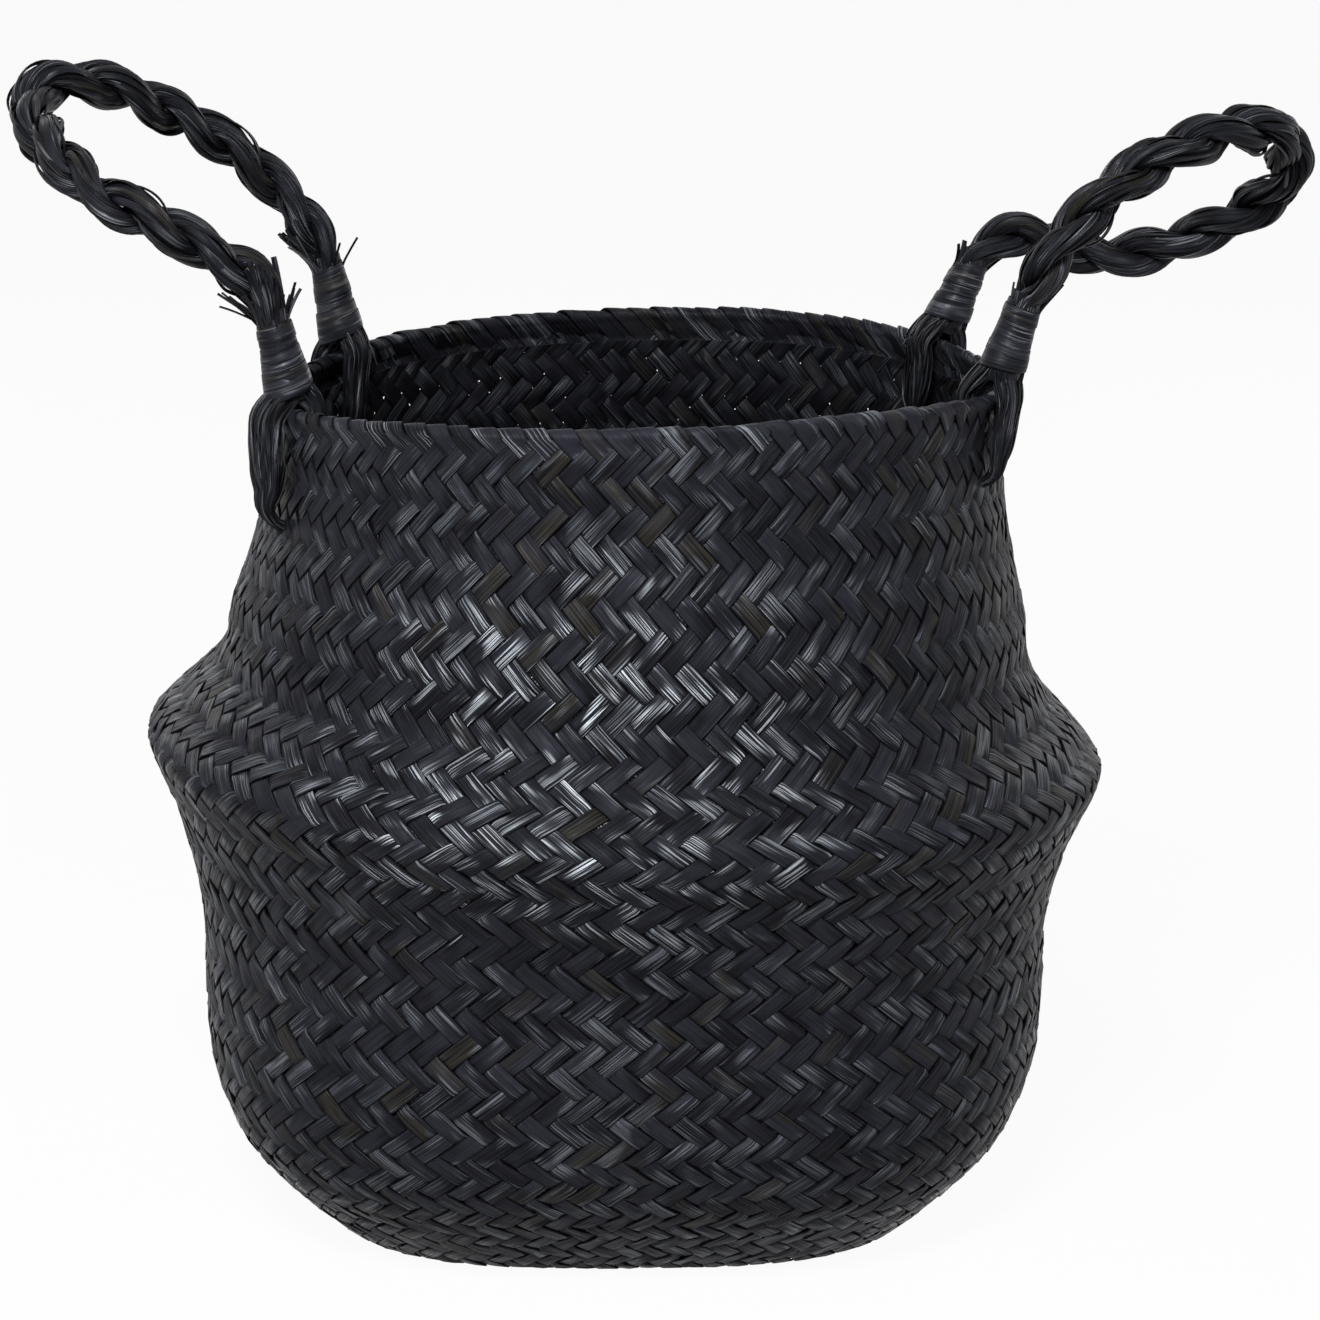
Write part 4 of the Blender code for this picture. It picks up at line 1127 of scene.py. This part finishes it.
def loose_stubs(handle, end, rng):
    """Points of the strip ends that hang loose from the bottom of a lashing, tapering to a tip."""
    rows = np.array([row[1:] for row in STUBS if row[0] == handle.name(end)], float)
    count, stations = len(rows), 9
    bearing, droop = np.radians(rows[:, 0] * handle.side), np.radians(rows[:, 1])
    run = np.linspace(0.0, 1.0, stations)[None, :]
    axis = handle.axis(end)
    outward = handle.around(end, bearing)
    level = np.cross(axis, outward)
    step = (STUB_LENGTH * rows[:, 2] / (stations - 1))[:, None]
    bend = droop[:, None] * (1.0 - 0.4 * run) + 0.10 * drift(rng, count, run, 3.0, 7.0)
    root = handle.foot(end) + axis * 0.0022 + outward * handle.sizes.bundle_bottom
    wide = level + 0.7 * outward
    width = rng.uniform(0.0022, 0.0034, (count, 1)) * (1.0 - 0.72 * run**2)
    points = bent_fibres(root, outward, -axis, step, bend, 0.0, wide, width)
    across = places_across(FIBRE_SECTION, 0.5)
    return numbered(points, (run * 0.02)[..., None], across, rng)


class BasketStep:
    """What the steps share: the sizes, the wall's surface and the finishes."""

    bl_options = {"REGISTER", "UNDO"}

    def sizes(self, context):
        scene = context.scene
        return scene.basket_body, scene.basket_weave, scene.basket_handles, scene.basket_dyes

    def finish(self, name):
        """The finish of that name, made when it is first asked for."""
        found = bpy.data.materials.get(name)
        return found or fibre_finish(name, bpy.context.scene.basket_dyes, **FINISHES[name])

    def handles(self, context):
        body, weave, sizes, _ = self.sizes(context)
        wall = Wall(body, weave)
        return [Handle(wall, body, sizes, side) for side in (-1, 1)]


class BASKET_OT_base(BasketStep, bpy.types.Operator):
    """Weave the flat base mat from strips in two directions"""

    bl_idname = "basket.base"
    bl_label = "Base mat"

    def execute(self, context):
        body, weave, _, _ = self.sizes(context)
        rng = np.random.default_rng(SEED)
        material = self.finish("woven_strip")
        for lean, way in ((1, "across"), (-1, "along")):
            points, fibre = mat_strips(weave, body, lean, rng)
            piece = tubes_mesh("base_mat_" + way, points, fibre, material)
            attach(piece, "bowl")
            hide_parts("base_mat")
        return {"FINISHED"}


class BASKET_OT_wall(BasketStep, bpy.types.Operator):
    """Weave the wall from strips that lean both ways, over two and under two"""

    bl_idname = "basket.wall"
    bl_label = "Woven wall"

    def execute(self, context):
        body, weave, _, _ = self.sizes(context)
        wall = Wall(body, weave)
        rng = np.random.default_rng(SEED + 1)
        material = self.finish("woven_strip")
        half = weave.strips // 2
        for lean, way in ((1, "right_leaning"), (-1, "left_leaning")):
            parts = (("front", np.arange(half, weave.strips)), ("back", np.arange(half)))
            for part, numbers in parts:
                points, fibre = wall_strips(wall, weave, numbers, lean, rng)
                piece = tubes_mesh(f"wall_strips_{way}_{part}", points, fibre, material)
                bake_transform(piece)
                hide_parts("lower_wall", "shoulder_wall", "neck_wall")
        return {"FINISHED"}


class BASKET_OT_rim(BasketStep, bpy.types.Operator):
    """Fold the strips' ends over the rim"""

    bl_idname = "basket.rim"
    bl_label = "Folded rim"

    def execute(self, context):
        body, weave, _, _ = self.sizes(context)
        wall = Wall(body, weave)
        rng = np.random.default_rng(SEED + 2)
        points, fibre = rim_folds(wall, weave, rng)
        material = self.finish("rim_strip")
        piece = tubes_mesh("rim_folds", points, fibre, material)
        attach(piece, "neck")
        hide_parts("rim_border")
        return {"FINISHED"}


class BASKET_OT_ropes(BasketStep, bpy.types.Operator):
    """Twist the two plies of each rope handle"""

    bl_idname = "basket.ropes"
    bl_label = "Twisted ropes"

    def execute(self, context):
        rng = np.random.default_rng(SEED + 3)
        material = self.finish("rope_fibre")
        for handle in self.handles(context):
            side = handle.hand
            cores, core_fibre = rope_cores(handle)
            for k, ply in enumerate("ab"):
                core = cores[k : k + 1], core_fibre[k : k + 1]
                made = {"core": core, "strips": ply_strips(handle, k, rng)}
                for what, (points, fibre) in made.items():
                    piece = tubes_mesh(f"{side}_ply_{ply}_{what}", points, fibre, material)
                    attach(piece, side + "_handle")
                    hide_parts(f"{side}_handle_ply_{ply}")
        return {"FINISHED"}


class BASKET_OT_feet(BasketStep, bpy.types.Operator):
    """Bind the rope's ends: gathered fibres, their frayed ends and the strip wound round"""

    bl_idname = "basket.feet"
    bl_label = "Bound ends"

    def execute(self, context):
        rng = np.random.default_rng(SEED + 4)
        rope = self.finish("rope_fibre")
        strip = self.finish("binding_strip")
        for handle in self.handles(context):
            side = handle.hand + "_handle"
            for end in (-1, 1):
                foot = handle.name(end)
                made = (
                    ("_gathered", bound_end, rope, "_bundle", "handle_rope"),
                    ("_frayed", frayed_ends, rope, "_bundle", "handle_rope"),
                    ("_binding", binding, strip, "_lashing", "lashing_strip"),
                    ("_stubs", loose_stubs, strip, "_lashing", "lashing_strip"),
                )
                for kind, shape, material, node, slot in made:
                    points, fibre = shape(handle, end, rng)
                    piece = tubes_mesh(foot + kind, points, fibre, material)
                    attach(piece, side)
                    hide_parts(foot + node)
        return {"FINISHED"}


class BASKET_OT_loops(BasketStep, bpy.types.Operator):
    """Lay the loose strips that loop through the wall and hold each foot"""

    bl_idname = "basket.loops"
    bl_label = "Holding loops"

    def execute(self, context):
        rng = np.random.default_rng(SEED + 5)
        material = self.finish("loop_strip")
        for handle in self.handles(context):
            for end in (-1, 1):
                foot = handle.name(end)
                points, fibre = loop_hank(handle, end, rng)
                piece = tubes_mesh(foot + "_hank", points, fibre, material)
                top = handle.foot(end)
                low = top - np.array([0.0, 0.0, 0.006])
                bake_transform(piece)
                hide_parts(foot + "_loop")
        return {"FINISHED"}


class BASKET_OT_stage(BasketStep, bpy.types.Operator):
    """Set the pale floor, the soft lights and the camera"""

    bl_idname = "basket.stage"
    bl_label = "Stage"

    def execute(self, context):
        dyes = context.scene.basket_dyes
        self.add_floor(dyes)
        self.add_world(context)
        self.add_lights(context)
        self.add_camera(context)
        context.scene.view_settings.view_transform = "Standard"
        return {"FINISHED"}

    def add_floor(self, dyes):
        """A wide flat floor that the camera sees nearly white, and that keeps the shadow."""
        mesh = bpy.data.meshes.new("floor")
        ways = ((-1, -1), (1, -1), (1, 1), (-1, 1))
        corners = [(x * FLOOR_REACH, y * FLOOR_REACH, 0.0) for x, y in ways]
        mesh.from_pydata(corners, [], [(0, 1, 2, 3)])
        floor = bpy.data.objects.new("floor", mesh)
        bpy.context.scene.collection.objects.link(floor)
        finish = Finish("floor")
        finish.shader.inputs["Base Color"].default_value = opaque(dyes.floor)
        finish.shader.inputs["Roughness"].default_value = 0.9
        finish.shader.inputs["Specular IOR Level"].default_value = 0.0
        settings = {"Color": (1.0, 1.0, 1.0, 1.0), "Strength": 1.0}
        white = finish.node("ShaderNodeEmission", (), settings)
        share = seen_rays(finish.tree) * FLOOR_WHITE
        mixed = finish.node("ShaderNodeMixShader", (), {0: share})
        finish.tree.links.new(finish.shader.outputs[0], mixed.inputs[1])
        finish.tree.links.new(white.outputs[0], mixed.inputs[2])
        output = finish.tree.nodes["Material Output"]
        finish.tree.links.new(mixed.outputs[0], output.inputs["Surface"])
        mesh.materials.append(finish.material)

    def add_world(self, context):
        """A white world for the camera, and a dimmer one for the light."""
        world = bpy.data.worlds.new("studio")
        context.scene.world = world
        world.use_nodes = True
        tree = world.node_tree
        background = tree.nodes["Background"]
        background.inputs["Color"].default_value = (1.0, 1.0, 1.0, 1.0)
        level = WORLD_LIGHT + seen_rays(tree) * (1.0 - WORLD_LIGHT)
        tree.links.new(level.socket, background.inputs["Strength"])

    def add_lights(self, context):
        """A soft light high in front, and weaker ones on each side and behind."""
        for name, place, power, width in LAMPS:
            data = bpy.data.lights.new(name, "AREA")
            data.energy = power
            data.size = width
            lamp = bpy.data.objects.new(name, data)
            context.scene.collection.objects.link(lamp)
            lamp.location = place
            aim = np.array(LAMPS_FACE) - np.array(place)
            drop = math.atan2(math.hypot(aim[0], aim[1]), -aim[2])
            lamp.rotation_euler = (drop, 0.0, math.atan2(-aim[0], aim[1]))

    def add_camera(self, context):
        """The camera that sees the basket as the photograph does."""
        data = bpy.data.cameras.new("camera")
        data.sensor_width = 36.0
        data.lens = CAMERA_LENS
        data.clip_end = 100.0
        camera = bpy.data.objects.new("camera", data)
        context.scene.collection.objects.link(camera)
        camera.location = CAMERA_PLACE
        camera.rotation_euler = (math.radians(90.0 - CAMERA_DROP), 0.0, CAMERA_TURN)
        context.scene.camera = camera


class BASKET_PT_panel(bpy.types.Panel):
    """Sidebar list of the basket's steps and sizes"""

    bl_label = "Basket"
    bl_idname = "BASKET_PT_panel"
    bl_space_type = "VIEW_3D"
    bl_region_type = "UI"
    bl_category = "Basket"

    def draw(self, context):
        layout = self.layout
        for step in STEPS:
            layout.operator(step.bl_idname)
        for group in ("basket_body", "basket_weave", "basket_handles", "basket_dyes"):
            box = layout.box()
            values = getattr(context.scene, group)
            for name in type(values).__annotations__:
                box.prop(values, name)


GROUPS = {
    "basket_body": BasketBody,
    "basket_weave": BasketWeave,
    "basket_handles": BasketHandles,
    "basket_dyes": BasketDyes,
}
STEPS = (
    BASKET_OT_base,
    BASKET_OT_wall,
    BASKET_OT_rim,
    BASKET_OT_ropes,
    BASKET_OT_feet,
    BASKET_OT_loops,
    BASKET_OT_stage,
)


def register():
    for name, group in GROUPS.items():
        bpy.utils.register_class(group)
        setattr(bpy.types.Scene, name, bpy.props.PointerProperty(type=group))
    for item in (*STEPS, BASKET_PT_panel):
        bpy.utils.register_class(item)


def unregister():
    for item in reversed((*STEPS, BASKET_PT_panel)):
        bpy.utils.unregister_class(item)
    for name, group in reversed(list(GROUPS.items())):
        delattr(bpy.types.Scene, name)
        bpy.utils.unregister_class(group)


def main():
    register()
    for step in STEPS:
        space, name = step.bl_idname.split(".")
        getattr(getattr(bpy.ops, space), name)()


if __name__ == "__main__":
    main()
